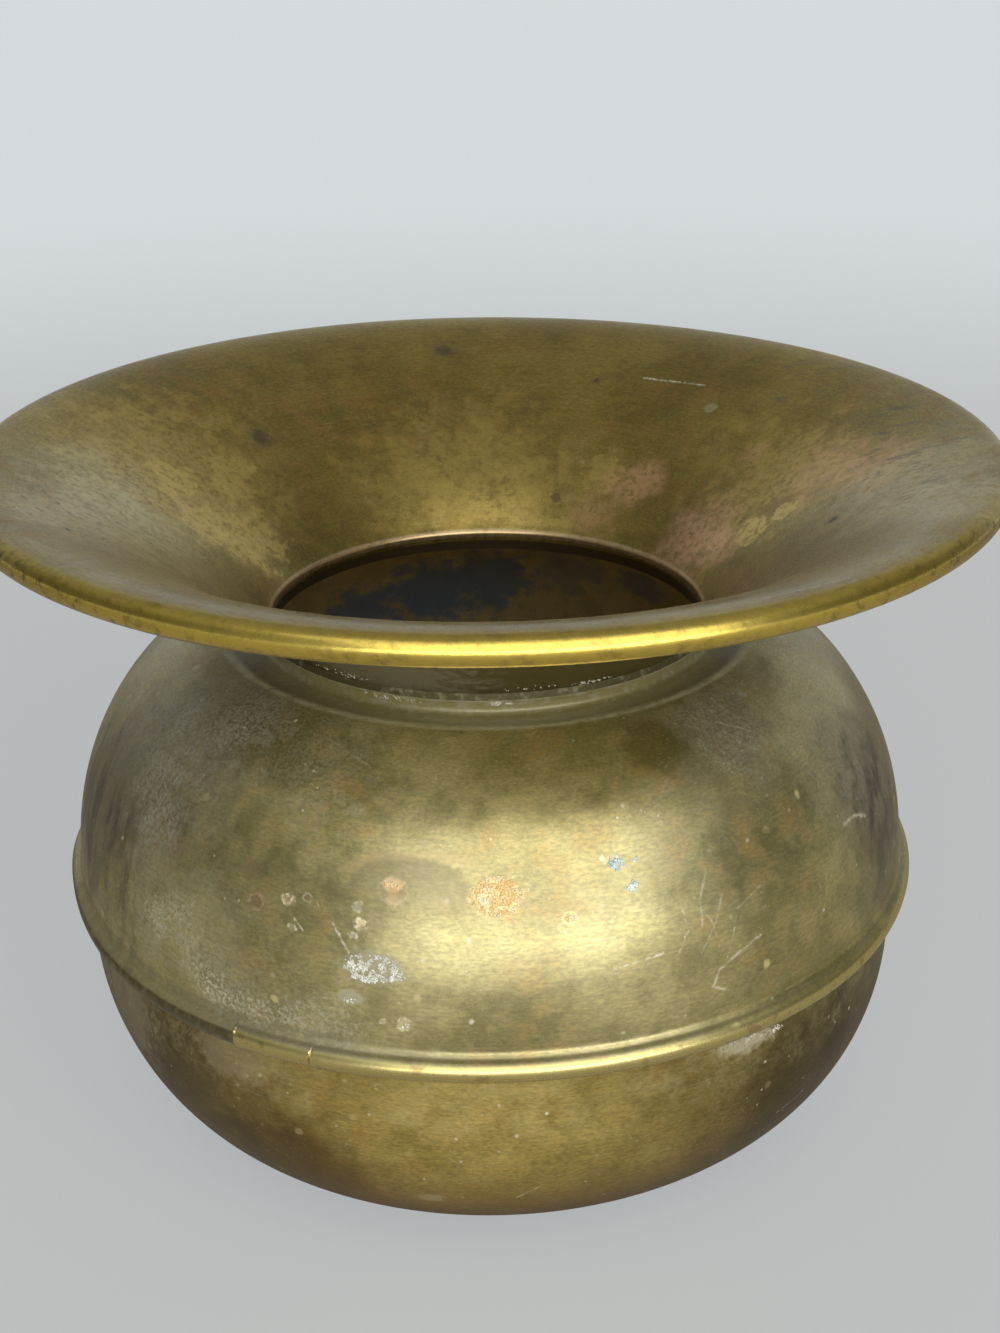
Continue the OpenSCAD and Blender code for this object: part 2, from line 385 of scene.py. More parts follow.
def spin(name, path, outside, moved, angles, proud=0.0):
    """A turned sheet. outside is +1 where the left of the path is the side that shows, else -1.
    moved(angle, along) gives the shift of the sheet outwards and upwards, in millimetres, and
    proud is how much further the left side stands out at each point."""
    path = np.array(path)
    count, along = len(path), length_along(path)
    normals = sides(path)
    left = path + normals * (HALF + np.broadcast_to(proud, count))[:, None]
    ring = np.vstack([left, (path - normals * HALF)[::-1]])
    ring_along = np.concatenate([along, along[::-1]])
    ring_shown = np.concatenate([np.full(count, outside > 0), np.full(count, outside < 0)]).astype(float)
    turn, where = np.meshgrid(angles, ring_along, indexing="ij")
    out, up = moved(turn, where)
    near_axis = np.minimum(1, ring[None, :, 0] / NEAR_AXIS)
    radius = np.maximum(ring[None, :, 0] + out * near_axis, 0) * MM
    height = (ring[None, :, 1] + up) * MM
    points = np.stack([radius * np.cos(turn), radius * np.sin(turn), height], -1).reshape(-1, 3)
    around, deep = len(angles), 2 * count
    closes_on_axis = path[0][0] == 0
    faces = []
    for i in range(around):
        a, b = i * deep, (i + 1) % around * deep
        for k in range(deep):
            if k == deep - 1 and closes_on_axis:
                continue
            n = (k + 1) % deep
            faces.append((a + k, b + k, b + n, a + n))
    thing = link_mesh(name, points.tolist(), faces)
    for label, values in (("along", ring_along), ("shown", ring_shown)):
        layer = thing.data.attributes.new(label, "FLOAT", "POINT")
        layer.data.foreach_set("value", np.tile(values, around).astype(np.float32))
    work = bmesh.new()
    work.from_mesh(thing.data)
    bmesh.ops.remove_doubles(work, verts=work.verts, dist=SAME_POINT)
    bmesh.ops.recalc_face_normals(work, faces=work.faces)
    for face in work.faces:
        face.smooth = True
    work.to_mesh(thing.data)
    work.free()
    thing.data.set_sharp_from_angle(angle=radians(SHARP_EDGE))
    return thing


# %% [markdown]
# What time has done to the sheet is written as sums of soft humps: a hump has a place round the
# axis, a place along the outline, a width each way and a depth. Slow waves with a few periods
# round the axis make the reflections wander a little, as they do on every old spun body.

# %% Humps, waves and steps
LEFT_OF_BOWL = (188, 72, 44, 20)
RIGHT_OF_BOWL = (0, 62, 48, 22)
LEFT_SHOULDER = (-150, 45, 16, 9)


def hump(turn, where, angle, place, wide, tall):
    """1 at an angle and place, falling off over wide degrees round and tall millimetres along."""
    off = (np.degrees(turn) - angle + 180) % 360 - 180
    return np.exp(-(off / wide) ** 2 - ((where - place) / tall) ** 2)


def wave(turn, periods, lead):
    return np.cos(periods * turn - radians(lead))


def step(values, low, high):
    """0 below low, 1 above high, smooth in between."""
    share = np.clip((values - low) / (high - low), 0, 1)
    return share * share * (3 - 2 * share)


def along_at(path, wanted):
    """The distance along a path to its point nearest to wanted."""
    gaps = np.linalg.norm(np.array(path) - np.array(wanted), axis=1)
    return float(length_along(path)[int(np.argmin(gaps))])


# %% [markdown]
# The mouth is one piece of sheet. It is soldered into the neck at its spigot and its outer edge
# is curled round an iron wire. The curl is modelled in full, because its end shows from below.
# The flare is nearly true, with slow waves that grow towards the rim. The lip of the throat has
# been dressed to a crisper corner than the bend of the sheet, so its upper face stands out there,
# nearly to where the wall of the throat and the flare would meet.

# %% The flared mouth
mouth_rim_at = along_at(mouth_path, mouth_end)
mouth_long = length_along(mouth_path)[-1]
MOUTH_SAG = 0.35
SAG_FROM = 8
TWO_WAVES, THREE_WAVES = 0.6, 0.4


def mouth_moved(turn, where):
    far = step(where, SAG_FROM, mouth_rim_at)
    waves = 1 + TWO_WAVES * wave(turn, 2, 70) + THREE_WAVES * wave(turn, 3, 200)
    return np.zeros_like(turn), -MOUTH_SAG * far * waves / 2


# %% The worn lip, and the mouth itself
BLUNT = 3.0
lip_half = (180 - TURN_END) / 2
lip_middle = SPIGOT + radians(lip_half) * THROAT_TURN
lip_off = np.degrees((length_along(mouth_path) - lip_middle) / THROAT_TURN)
lip_left = np.clip(lip_half - np.hypot(lip_off, BLUNT) + BLUNT, 0, None)
lip_proud = (THROAT_TURN + HALF) * (1 / np.cos(np.radians(lip_left)) - 1)
mouth = spin("mouth", mouth_path, +1, mouth_moved, even_stations(), lip_proud)
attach(mouth, "root")
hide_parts("mouth_funnel")
print(f"mouth: {mouth_long:.1f} mm of sheet along its outline, {len(mouth.data.polygons)} faces")

# %% [markdown]
# The two halves of the body are locked by a rolled seam: the bowl's edge is curled over, and the
# shell's edge is rolled round that curl, which makes the bead at the belly. On the left the hem
# has opened: to one side of a split it lies flatter than on the other, and a second, finer crack
# follows. Extra stations round the axis let the mesh take these narrow steps.

# %% The upper shell, with its split hem
SPLIT_AT, CRACK_AT = -122.3, -111.7
MM_PER_DEGREE = pi * BELLY_D / 360
SPLIT_LEAN = 2.2
CRACK_REACH, CRACK_STEP = 1.4, 0.14
hem_from = along_at(shell_path, polar(BEAD_C, HEM_MID, HEM_ANGLE))
hem_start, hem_full = hem_from - 2.5, hem_from + 1
shell_long = length_along(shell_path)[-1]
near_cracks = [at + mm / MM_PER_DEGREE for at in (SPLIT_AT, CRACK_AT)
               for mm in np.arange(-CRACK_REACH, CRACK_REACH + CRACK_STEP / 2, CRACK_STEP)]
DIP, DEEPEST_AT, DIP_WIDTH = 0.9, -136, 26
FLATTENED, UNEVEN, SPLIT_EDGE = 0.34, 0.06, 0.06
OUT_OF_ROUND, SHOULDER_DENT = 0.12, 0.25


def seam_dip(turn):
    """How far the rolled seam hangs lower than level at each angle, in millimetres."""
    angle = np.degrees(turn)
    front = step(angle, -176, -150) * (1 - step(angle, -40, -5))
    return front * DIP * (1 + np.exp(-((angle - DEEPEST_AT) / DIP_WIDTH) ** 2))


def hem_pressed(turn):
    """How far the rolled seam is pressed in at each angle, in millimetres."""
    angle = np.degrees(turn)
    before_split = 1 - step(angle, SPLIT_AT - SPLIT_EDGE, SPLIT_AT + SPLIT_EDGE)
    flat = step(angle, -178, -165) * before_split
    return FLATTENED * flat + UNEVEN * (1 + wave(turn, 5, 40)) / 2


def shell_moved(turn, where):
    angle = np.degrees(turn)
    on_hem = step(where, hem_start, hem_full)
    out = -OUT_OF_ROUND * (1 + wave(turn, 2, 20)) * step(where, 10, 40)
    out -= on_hem * hem_pressed(turn)
    out -= SHOULDER_DENT * hump(turn, where, *LEFT_SHOULDER)
    lean = SPLIT_LEAN * ((where - hem_from) / (shell_long - hem_from) - 0.4) ** 2 / MM_PER_DEGREE
    for at, half_wide, deep in ((SPLIT_AT + 0.12, 0.16, 0.5), (CRACK_AT, 0.1, 0.3)):
        off = np.abs(angle - at - lean) * MM_PER_DEGREE
        cut = 1 - step(off, half_wide * 0.4, half_wide * 1.6)
        out -= deep * cut * step(where, hem_from, hem_from + 0.8)
    return out, -seam_dip(turn) * step(where, hem_from - 22, hem_from - 1)


upper = spin("upper_body", shell_path, +1, shell_moved, even_stations(near_cracks))
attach(upper, "root")
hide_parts("upper_shell")
print(f"upper body: hem starts {hem_from:.1f} mm along, {len(upper.data.polygons)} faces")

# %% [markdown]
# The lower bowl was spun from one disc and stands on its flat middle. In the photograph its left
# side is a little flatter than its right, so it is pressed in by about a millimetre there.

# %% The lower bowl
bowl_curl_from = along_at(bowl_path, EDGE_C)
PRESSED_IN, SWOLLEN = 1.2, 0.25


def bowl_moved(turn, where):
    below = 1 - step(where, bowl_curl_from - 14, bowl_curl_from - 1)
    out = -PRESSED_IN * hump(turn, where, *LEFT_OF_BOWL) * below
    out += SWOLLEN * hump(turn, where, *RIGHT_OF_BOWL) * below
    out -= step(where, bowl_curl_from - 4, bowl_curl_from) * hem_pressed(turn)
    return out, -seam_dip(turn) * step(where, bowl_curl_from - 24, bowl_curl_from - 1)


bowl = spin("lower_body", bowl_path, -1, bowl_moved, even_stations())
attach(bowl, "root")
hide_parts("lower_bowl")
print(f"lower body: {length_along(bowl_path)[-1]:.1f} mm of sheet, {len(bowl.data.polygons)} faces")

# %% [markdown]
# The solder in the crevice of the seam hangs with the sheets it joins. So it is a copy of the
# model's ring, moved as they are: on the curl by all that the seam is pressed in, and on the
# shell by as much as the shell is at that place.

# %% The solder in the seam
checked_ring = frame["nodes"]["seam_solder"]
ring_mesh = checked_ring.data.copy()
ring_mesh.transform(checked_ring.matrix_world)
ON_CURL = CURL_CORE + SHEET + GAP + 0.02
for vert in ring_mesh.vertices:
    turn = np.arctan2(vert.co.y, vert.co.x)
    out, up = vert.co.xy.length / MM, vert.co.z / MM
    past = (degrees(np.arctan2(up - HOLLOW_C[1], out - HOLLOW_C[0])) % 360) - 180 - HEM_ANGLE
    share = step(hem_from + radians(past) * BEAD_HOLLOW, hem_start, hem_full)
    if np.hypot(out - BEAD_C[0], up - BEAD_C[1]) < ON_CURL:
        share = 1.0
    inward = vert.co.xy.normalized() * float(share * hem_pressed(turn) * MM)
    vert.co -= Vector((inward.x, inward.y, float(seam_dip(turn) * MM)))
seam_ring = bpy.data.objects.new("seam_solder_ring", ring_mesh)
bpy.context.scene.collection.objects.link(seam_ring)
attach(seam_ring, "root")
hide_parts("seam_solder")
print("seam solder:", len(ring_mesh.polygons), "faces")

# %% [markdown]
# A material is built from many small steps, so a short helper keeps the node tree and adds nodes
# to it. Every number is a real size: noise has the size of its features in millimetres, and
# bumps have heights in millimetres. Colours are written as the eye sees them, from 0 to 255.
# A finish is laid on in layers, as on the real object: each layer covers a share of the surface,
# and changes the colour, how metallic it is, how rough it is and how high it stands.

# %% A helper for finishes


def colour(red, green, blue):
    """A colour as the eye sees it, turned into the linear values that a shader takes."""
    def linear(value):
        share = value / 255
        return share / 12.92 if share <= 0.04045 else ((share + 0.055) / 1.055) ** 2.4
    return (linear(red), linear(green), linear(blue), 1.0)


class Finish:
    """One material and its node tree. Each method adds nodes and returns the socket they end in."""

    def __init__(self, name, tint, metal, rough):
        self.material = bpy.data.materials.new(name)
        self.material.use_nodes = True
        self.tree = self.material.node_tree
        self.shader = self.tree.nodes["Principled BSDF"]
        self.place = self.add("ShaderNodeTexCoord").outputs["Object"]
        self.tint, self.metal, self.rough, self.height = tint, metal, rough, None
        self.noises = {}

    def add(self, kind, **settings):
        node = self.tree.nodes.new(kind)
        for key, value in settings.items():
            setattr(node, key, value)
        return node

    def feed(self, socket, value):
        if isinstance(value, bpy.types.NodeSocket):
            self.tree.links.new(value, socket)
        elif value is not None:
            socket.default_value = value

    def sum(self, operation, a, b=None, c=None):
        node = self.add("ShaderNodeMath", operation=operation)
        for socket, value in zip(node.inputs, (a, b, c)):
            self.feed(socket, value)
        return node.outputs[0]

    def times(self, *values):
        product = values[0]
        for value in values[1:]:
            product = self.sum("MULTIPLY", product, value)
        return product

    def vector(self, operation, a, b=None, out=0, scale=None):
        node = self.add("ShaderNodeVectorMath", operation=operation)
        self.feed(node.inputs[0], a)
        self.feed(node.inputs[1], b)
        if scale is not None:
            self.feed(node.inputs["Scale"], scale)
        return node.outputs[out]

    def ramp(self, value, low, high, bottom=0.0, top=1.0):
        """bottom at low, top at high, smooth in between and level beyond."""
        node = self.add("ShaderNodeMapRange", interpolation_type="SMOOTHSTEP")
        for socket, item in zip(node.inputs, (value, low, high, bottom, top)):
            self.feed(socket, item)
        return node.outputs[0]

    def noise(self, size, detail=3, rough=0.5, seed=0, at=None):
        """Cloudy noise with features of a size in millimetres, from 0 to 1, mostly about a half."""
        key = (size, detail, rough, seed)
        if at is None and key in self.noises:
            return self.noises[key]
        moved = self.vector("ADD", at or self.place, (0.0137 * seed, -0.0291 * seed, 0.0173 * seed))
        node = self.add("ShaderNodeTexNoise")
        self.feed(node.inputs["Vector"], moved)
        for socket, value in (("Scale", 1 / (size * MM)), ("Detail", detail), ("Roughness", rough)):
            node.inputs[socket].default_value = value
        if at is None:
            self.noises[key] = node.outputs["Fac"]
        return node.outputs["Fac"]

    def drawn_out(self, direction, long, short, detail=2, seed=0):
        """Noise whose features are long one way and short across, like wiping marks."""
        a = Vector(direction).normalized()
        b = a.orthogonal().normalized()
        joined = self.add("ShaderNodeCombineXYZ")
        for socket, axis, size in zip(joined.inputs, (a, b, a.cross(b)), (long, short, short)):
            self.feed(socket, self.vector("DOT_PRODUCT", self.place, tuple(axis / size), out="Value"))
        return self.noise(1, detail, 0.6, seed, joined.outputs[0])

    def layer(self, name):
        """A number that the mesh keeps for each of its points."""
        return self.add("ShaderNodeAttribute", attribute_name=name).outputs["Fac"]

    def along(self, low, high, bottom=0.0, top=1.0):
        """A ramp over the distance along the outline, in millimetres."""
        return self.ramp(self.layer("along"), low, high, bottom, top)

    def band(self, start, end, soft):
        """1 between two distances along the outline, fading over soft at both ends."""
        return self.times(self.along(start - soft, start), self.along(end + soft, end))

    def axis(self, number):
        """The place along X, Y or Z, in metres."""
        parts = self.add("ShaderNodeSeparateXYZ")
        self.feed(parts.inputs[0], self.place)
        return parts.outputs[number]

    def aside(self, low, high, bottom=0.0, top=1.0, middle=0.0):
        """A ramp over the distance to the left or right of a middle, in millimetres."""
        place = self.axis(0) if middle == 0 else self.sum("ADD", self.axis(0), -middle * MM)
        return self.ramp(self.sum("ABSOLUTE", place), low * MM, high * MM, bottom, top)

    def mix(self, share, a, b):
        """Colour b over colour a."""
        node = self.add("ShaderNodeMix", data_type="RGBA")
        for place, value in ((0, share), (6, a), (7, b)):
            self.feed(node.inputs[place], value)
        return node.outputs[2]

    def blend(self, share, a, b):
        """Number b over number a."""
        node = self.add("ShaderNodeMix", data_type="FLOAT")
        for place, value in ((0, share), (2, a), (3, b)):
            self.feed(node.inputs[place], value)
        return node.outputs[0]

    def over(self, share, tint, metal=None, rough=None, rise=None):
        """Lays a layer over what is there."""
        self.tint = self.mix(share, self.tint, tint)
        if metal is not None:
            self.metal = self.blend(share, self.metal, metal)
        if rough is not None:
            self.rough = self.blend(share, self.rough, rough)
        if rise is not None:
            self.lift(self.times(share, rise))

    def shade(self, factor):
        self.tint = self.vector("SCALE", self.tint, scale=factor)

    def lift(self, height):
        self.height = height if self.height is None else self.sum("ADD", self.height, height)

    def close(self):
        """Joins the layers to the shader."""
        ends = (("Base Color", self.tint), ("Metallic", self.metal), ("Roughness", self.rough))
        for socket, value in ends:
            self.feed(self.shader.inputs[socket], value)
        if self.height is not None:
            bump = self.add("ShaderNodeBump")
            bump.inputs["Distance"].default_value = MM
            self.feed(bump.inputs["Height"], self.height)
            self.feed(self.shader.inputs["Normal"], bump.outputs["Normal"])
        print(self.material.name, "has", len(self.tree.nodes), "nodes")
        return self.material


# %% [markdown]
# Marks sit at places on the surface. A place is given the way one would find it on the bench: an
# angle round the axis, in degrees from the right-hand side, and a height, or for the mouth a
# distance from the axis. A straight line towards the piece from there finds the third number and
# the way the skin faces, dents and all.

# %% Finding a place on a piece's skin


def tree_of(thing):
    mesh = thing.data
    points = [vert.co.copy() for vert in mesh.vertices]
    return BVHTree.FromPolygons(points, [tuple(face.vertices) for face in mesh.polygons])


TREES = {"mouth": tree_of(mouth), "shell": tree_of(upper), "bowl": tree_of(bowl)}
TREES["under"] = TREES["mouth"]
FAR_OFF = 300


def skin_at(piece, angle, level):
    """The point and outward direction of a piece's skin at an angle and a height, or a radius."""
    across = Vector((cos(radians(angle)), sin(radians(angle)), 0))
    if piece == "mouth":
        start, towards = across * level + Vector((0, 0, FAR_OFF)), Vector((0, 0, -1))
    elif piece == "under":
        start, towards = across * level, Vector((0, 0, 1))
    else:
        start, towards = across * FAR_OFF + Vector((0, 0, level)), -across
    point, normal, _, _ = TREES[piece].ray_cast(start * MM, towards)
    return point, normal if normal.dot(towards) < 0 else -normal


def spot_at(piece, angle, level):
    return skin_at(piece, angle, level)[0]


# %% [markdown]
# A mark's edge is torn by adding fine noise to the distance from its middle before the edge is
# drawn. A drop that dried leaves a thin skin with a darker or paler line round it. A scratch is
# the distance to a broken line, interrupted where noise is low. Patches and scratches each have a
# function that lays a whole list of them, so that a finish reads as a list of places and sizes.

# %% Noises that many marks share: size in millimetres, detail, roughness and seed
TEAR_EDGE = 0.5
FINE_DIRT = (1.4, 5, 0.66, 5)
RAGGED = (1.2, 4, 0.6, 1)
SPOTTED = (2.6, 4, 0.6, 7)

# %% How torn an edge is and how far it fades, in millimetres
DROP_TORN, DROP_FADE, LINE_RISE = 1.3, 0.5, 0.03
SCRATCH_TORN, SCRATCH_OUT, SCRATCH_IN = 0.9, 0.42, 0.3
DRIED = (0.3, 0.55)

# %% Patches


def distance_from(finish, centre, tall):
    off = finish.vector("SUBTRACT", finish.place, tuple(centre))
    return finish.vector("LENGTH", finish.vector("MULTIPLY", off, (1, 1, 1 / tall)), out="Value")


def patch(finish, centre, size, keen=0.5, grain=2.0, soft=0.08, tall=1.0, seed=0):
    """A torn patch: 1 inside, 0 outside. The keener it is, the rounder its edge."""
    distance = distance_from(finish, centre, tall)
    fall = finish.sum("MULTIPLY_ADD", distance, -keen / (size * MM), keen)
    edge = finish.sum("ADD", fall, finish.noise(grain, 5, 0.62, seed))
    return finish.ramp(edge, TEAR_EDGE - soft / 2, TEAR_EDGE + soft / 2)


def patches(finish, piece, spots, layer, cover=None, keen=0.5, grain=2.0, soft=0.08, seed=0):
    """A layer in torn patches. A spot is an angle, a level, a size and a strength, and if it has
    more, how keen it is and how soft. Without a seed, its angle chooses between two noises."""
    for angle, level, size, strength, *own in spots:
        own_keen, own_soft = own or (keen, soft)
        own_seed = angle % 2 if seed is None else seed
        centre = spot_at(piece, angle, level)
        share = patch(finish, centre, size, own_keen, grain, own_soft, 1, own_seed)
        covered = share if cover is None else finish.times(share, cover)
        finish.over(finish.times(covered, strength), *layer)


# %% Dried drops


def dried_drop(finish, centre, size, wide, inside, line, strength=0.8, tall=0.85):
    """A thin skin inside a broken line, for a drop that dried."""
    torn = finish.sum("ADD", finish.noise(*RAGGED), finish.noise(*SPOTTED))
    ragged = finish.sum("MULTIPLY_ADD", torn, DROP_TORN * MM, distance_from(finish, centre, tall))
    edge = (size + DROP_TORN) * MM
    broken = finish.ramp(finish.noise(0.6, 3, 0.6, 2), 0.4, 0.62, 0.1, 1.0)
    filled = finish.ramp(finish.noise(0.8, 4, 0.65, 5), 0.34, 0.6, 0.45, 1.0)
    skin = finish.ramp(ragged, edge, edge - DROP_FADE * MM)
    finish.over(finish.times(skin, strength, filled), inside, *DRIED)
    off = finish.sum("ABSOLUTE", finish.sum("SUBTRACT", ragged, edge))
    ring = finish.times(finish.ramp(off, wide * MM, 0), broken, strength)
    finish.over(ring, line, *DRIED, LINE_RISE)


# %% Scratches


def scratch(finish, points, wide, broken=0.42):
    """1 on the line through the points, broken here and there."""
    nearest = None
    for start, end in zip(points, points[1:]):
        run = Vector(end) - Vector(start)
        off = finish.vector("SUBTRACT", finish.place, tuple(start))
        part = finish.vector("DOT_PRODUCT", off, tuple(run / run.length_squared), out="Value")
        held = finish.add("ShaderNodeClamp")
        finish.feed(held.inputs[0], part)
        back = finish.vector("SCALE", tuple(run), scale=held.outputs[0])
        distance = finish.vector("DISTANCE", off, back, out="Value")
        nearest = distance if nearest is None else finish.sum("MINIMUM", nearest, distance)
    ragged = finish.sum("MULTIPLY_ADD", finish.noise(*RAGGED), SCRATCH_TORN * MM, nearest)
    line = finish.ramp(ragged, (wide / 2 + SCRATCH_OUT) * MM, (wide / 8 + SCRATCH_IN) * MM)
    gaps = finish.ramp(finish.noise(0.5, 4, 0.65, 3), broken - 0.02, broken + 0.12)
    return finish.times(line, gaps)


def scratches(finish, piece, lines, layer, broken=0.4):
    """Scratches of one layer. A line is a width, a strength and the angle and level of its points."""
    for wide, strength, *places in lines:
        points = [spot_at(piece, angle, level) for angle, level in places]
        finish.over(finish.times(scratch(finish, points, wide, broken), strength), *layer)


# %% [markdown]
# All the brass has the same history, so the shared part of its finish is one function: a mottled
# tarnish of two tones, the fine lines that the spinner's tool and years of rubbing left round the
# axis, a granular break-up that makes the highlight sparkle, pale dots, and faint wiping marks.
# Tarnish is not pure metal any more, so part of it scatters light like paint. A thin film of old
# wax, the shader's coat, whitens the highlight at the front and thins out towards the sides. Each
# piece then adds its own stains, polished edges and crusts.

# %% The tarnish that all the brass shares
CLOUDS, MOTTLE = (26, 5, 0.6), (6, 6, 0.64)
GRAIN_APART, LINES_APART = 0.42, 0.5
GRAIN_HIGH, LINES_HIGH, CLOUDS_HIGH = 0.012, 0.010, 0.18
FILM_FROM, FILM_TO, FILM_AT_SIDES = 35, 72, 0.25


def round_lines(finish, apart, follow=7.0, seed=0):
    """Noise drawn out round the axis: lines a size apart, that change as one walks round."""
    flat = finish.vector("NORMALIZE", finish.vector("MULTIPLY", finish.place, (1, 1, 0)))
    height = finish.add("ShaderNodeCombineXYZ")
    finish.feed(height.inputs[2], finish.sum("DIVIDE", finish.layer("along"), apart))
    at = finish.vector("ADD", finish.vector("SCALE", flat, scale=follow), height.outputs[0])
    return finish.noise(1 / MM, 3, 0.6, seed, at)


def tarnish(name, tints, metal, rough, film, seed):
    dark, light, warm = tints
    finish = Finish(name, dark, metal, rough)
    clouds = finish.noise(*CLOUDS, seed)
    mottle = finish.noise(*MOTTLE, seed + 3)
    grain = round_lines(finish, GRAIN_APART, 75, seed)
    lines = round_lines(finish, LINES_APART, 7, seed + 1)
    tone = finish.sum("MULTIPLY_ADD", clouds, 0.6, finish.sum("MULTIPLY", mottle, 0.4))
    finish.over(finish.ramp(tone, 0.39, 0.61), light)
    warm_share = finish.times(finish.ramp(mottle, 0.5, 0.62), finish.ramp(clouds, 0.62, 0.42), 0.65)
    finish.over(warm_share, warm)
    finish.shade(finish.times(finish.ramp(grain, 0.3, 0.7, 0.82, 1.18),
                              finish.ramp(lines, 0.3, 0.7, 0.93, 1.07)))
    finish.rough = finish.sum("ADD", finish.ramp(mottle, 0.35, 0.65, rough - 0.07, rough + 0.07),
                              finish.ramp(grain, 0.3, 0.7, 0.02, -0.02))
    for pattern, height in ((grain, GRAIN_HIGH), (lines, LINES_HIGH), (clouds, CLOUDS_HIGH)):
        finish.lift(finish.times(pattern, height))
    coat = finish.aside(FILM_FROM, FILM_TO, film, film * FILM_AT_SIDES)
    finish.feed(finish.shader.inputs["Coat Weight"], coat)
    finish.shader.inputs["Coat Roughness"].default_value = rough + 0.04
    return finish


def wiped(finish, strength, tint, seed=0):
    """Faint, fine scratches in three directions, gathered in patches."""
    for direction, turn in (((1, 0.2, -0.5), 0), ((0.6, -0.5, 0.9), 1), ((0.9, 0.6, 0.25), 2)):
        lines = finish.drawn_out(direction, 9, 0.16, 1, seed + turn)
        gathered = finish.ramp(finish.noise(11, 3, 0.6, seed + turn), 0.48, 0.66)
        finish.over(finish.times(finish.ramp(lines, 0.62, 0.72), gathered, strength), tint, 0.6, 0.4)


def dots(finish, cell, size, tint, strength=1.0, seed=0):
    """Pale round dots of many sizes, where splashes dried."""
    node = finish.add("ShaderNodeTexVoronoi")
    moved = finish.vector("ADD", finish.place, (0.011 * seed, 0.017 * seed, -0.013 * seed))
    finish.feed(node.inputs["Vector"], moved)
    node.inputs["Scale"].default_value = 1 / (cell * MM)
    own = finish.add("ShaderNodeSeparateColor")
    finish.feed(own.inputs[0], node.outputs["Color"])
    ragged = finish.sum("MULTIPLY_ADD", finish.noise(0.7, 2, 0.5, 3), 0.14, node.outputs["Distance"])
    reach = finish.sum("MULTIPLY_ADD", finish.ramp(own.outputs[0], 0.35, 1.0), size / cell, 0.07)
    share = finish.ramp(finish.sum("SUBTRACT", ragged, reach), 0.04, -0.08)
    shown = finish.ramp(own.outputs[1], 0.3, 0.9, 0.1, strength)
    finish.over(finish.times(share, shown), tint, 0.4, 0.5)


# %% [markdown]
# The mouth has been handled most. Its flare is olive and brown, with golden areas low on both
# sides where the tarnish has gone thin and a reflection of light is painted on, pinkish ones where
# zinc has left the metal, a few dark spots, a drip and pale scratches. Grey patches on its left and
# right sides are a painted reflection of the pale wall, and dark streaky patches near its rim
# there are painted dark reflections. The underside of the flare and the wall of the throat are
# painted darker, as painted shade. The lip of the throat is worn to a thin pinkish line that is
# also a painted highlight, and the outer half of the rim's curl is rubbed bright, with dirt left
# in its pits; the bright share is painted stronger at the front and back and the dirt stronger at
# the left and right ends, as painted highlight and painted shade.

# %% Layers of the mouth: a colour, how metallic it is and how rough
BLACK_BROWN = colour(70, 56, 44)
HAZE = colour(182, 180, 160)
PALE = colour(226, 220, 192)
MOUTH_TINTS = (colour(134, 116, 53), colour(157, 137, 66), colour(150, 118, 58))
# Thin tarnish showing golden metal, which also carries a painted reflection of light.
GOLD_WEAR_AND_REFLECTION = (colour(210, 184, 102), 0.95, 0.24)
ROSE = (colour(228, 180, 136), 0.88, 0.32)
# A painted reflection of the pale wall, on the mouth's left and right sides.
GREY_REFLECTION_PAINT = (colour(208, 196, 148), 0.85, 0.3)
# Painted dark reflections, near the rim on the mouth's left and right sides.
DARK_REFLECTION_PAINT = (colour(104, 98, 86), 0.75, 0.42)
SPOT = (BLACK_BROWN, 0.6, 0.5)
SPOT_EDGE = (BLACK_BROWN, 0.7, 0.4)
DRIP = (BLACK_BROWN, 0.7, 0.45)
DRIP_END = (colour(84, 66, 44), 0.7, 0.45)
PIT = (BLACK_BROWN, 0.7, 0.5)
SCRATCH = (PALE, 0.5, 0.45)
FAINT = (PALE, 0.6, 0.4)
# A thin pinkish line of wear on the throat's lip, which is also a painted highlight.
WORN_LIP_AND_HIGHLIGHT = (colour(208, 182, 140), 0.85, 0.3)
# The rim's roll rubbed bright; painting it stronger at the front and back adds a painted highlight.
RUBBED_RIM_AND_HIGHLIGHT = (colour(224, 198, 90), 0.97, 0.25)
# Dirt in the rim's pits, painted stronger at the left and right ends as painted shade.
RIM_DIRT_AND_SHADE = (colour(104, 86, 38), 0.85, 0.36)
# Painted shade on the underside of the flare.
UNDERSIDE_SHADE = (colour(100, 90, 44), 0.6, 0.45)
DUST = (HAZE, 0.3, 0.6)
# Painted shade on the wall of the throat.
THROAT_WALL_SHADE = (colour(60, 48, 26), 0.6, 0.5)

# %% Where the mouth is stained, and where reflections are painted on it


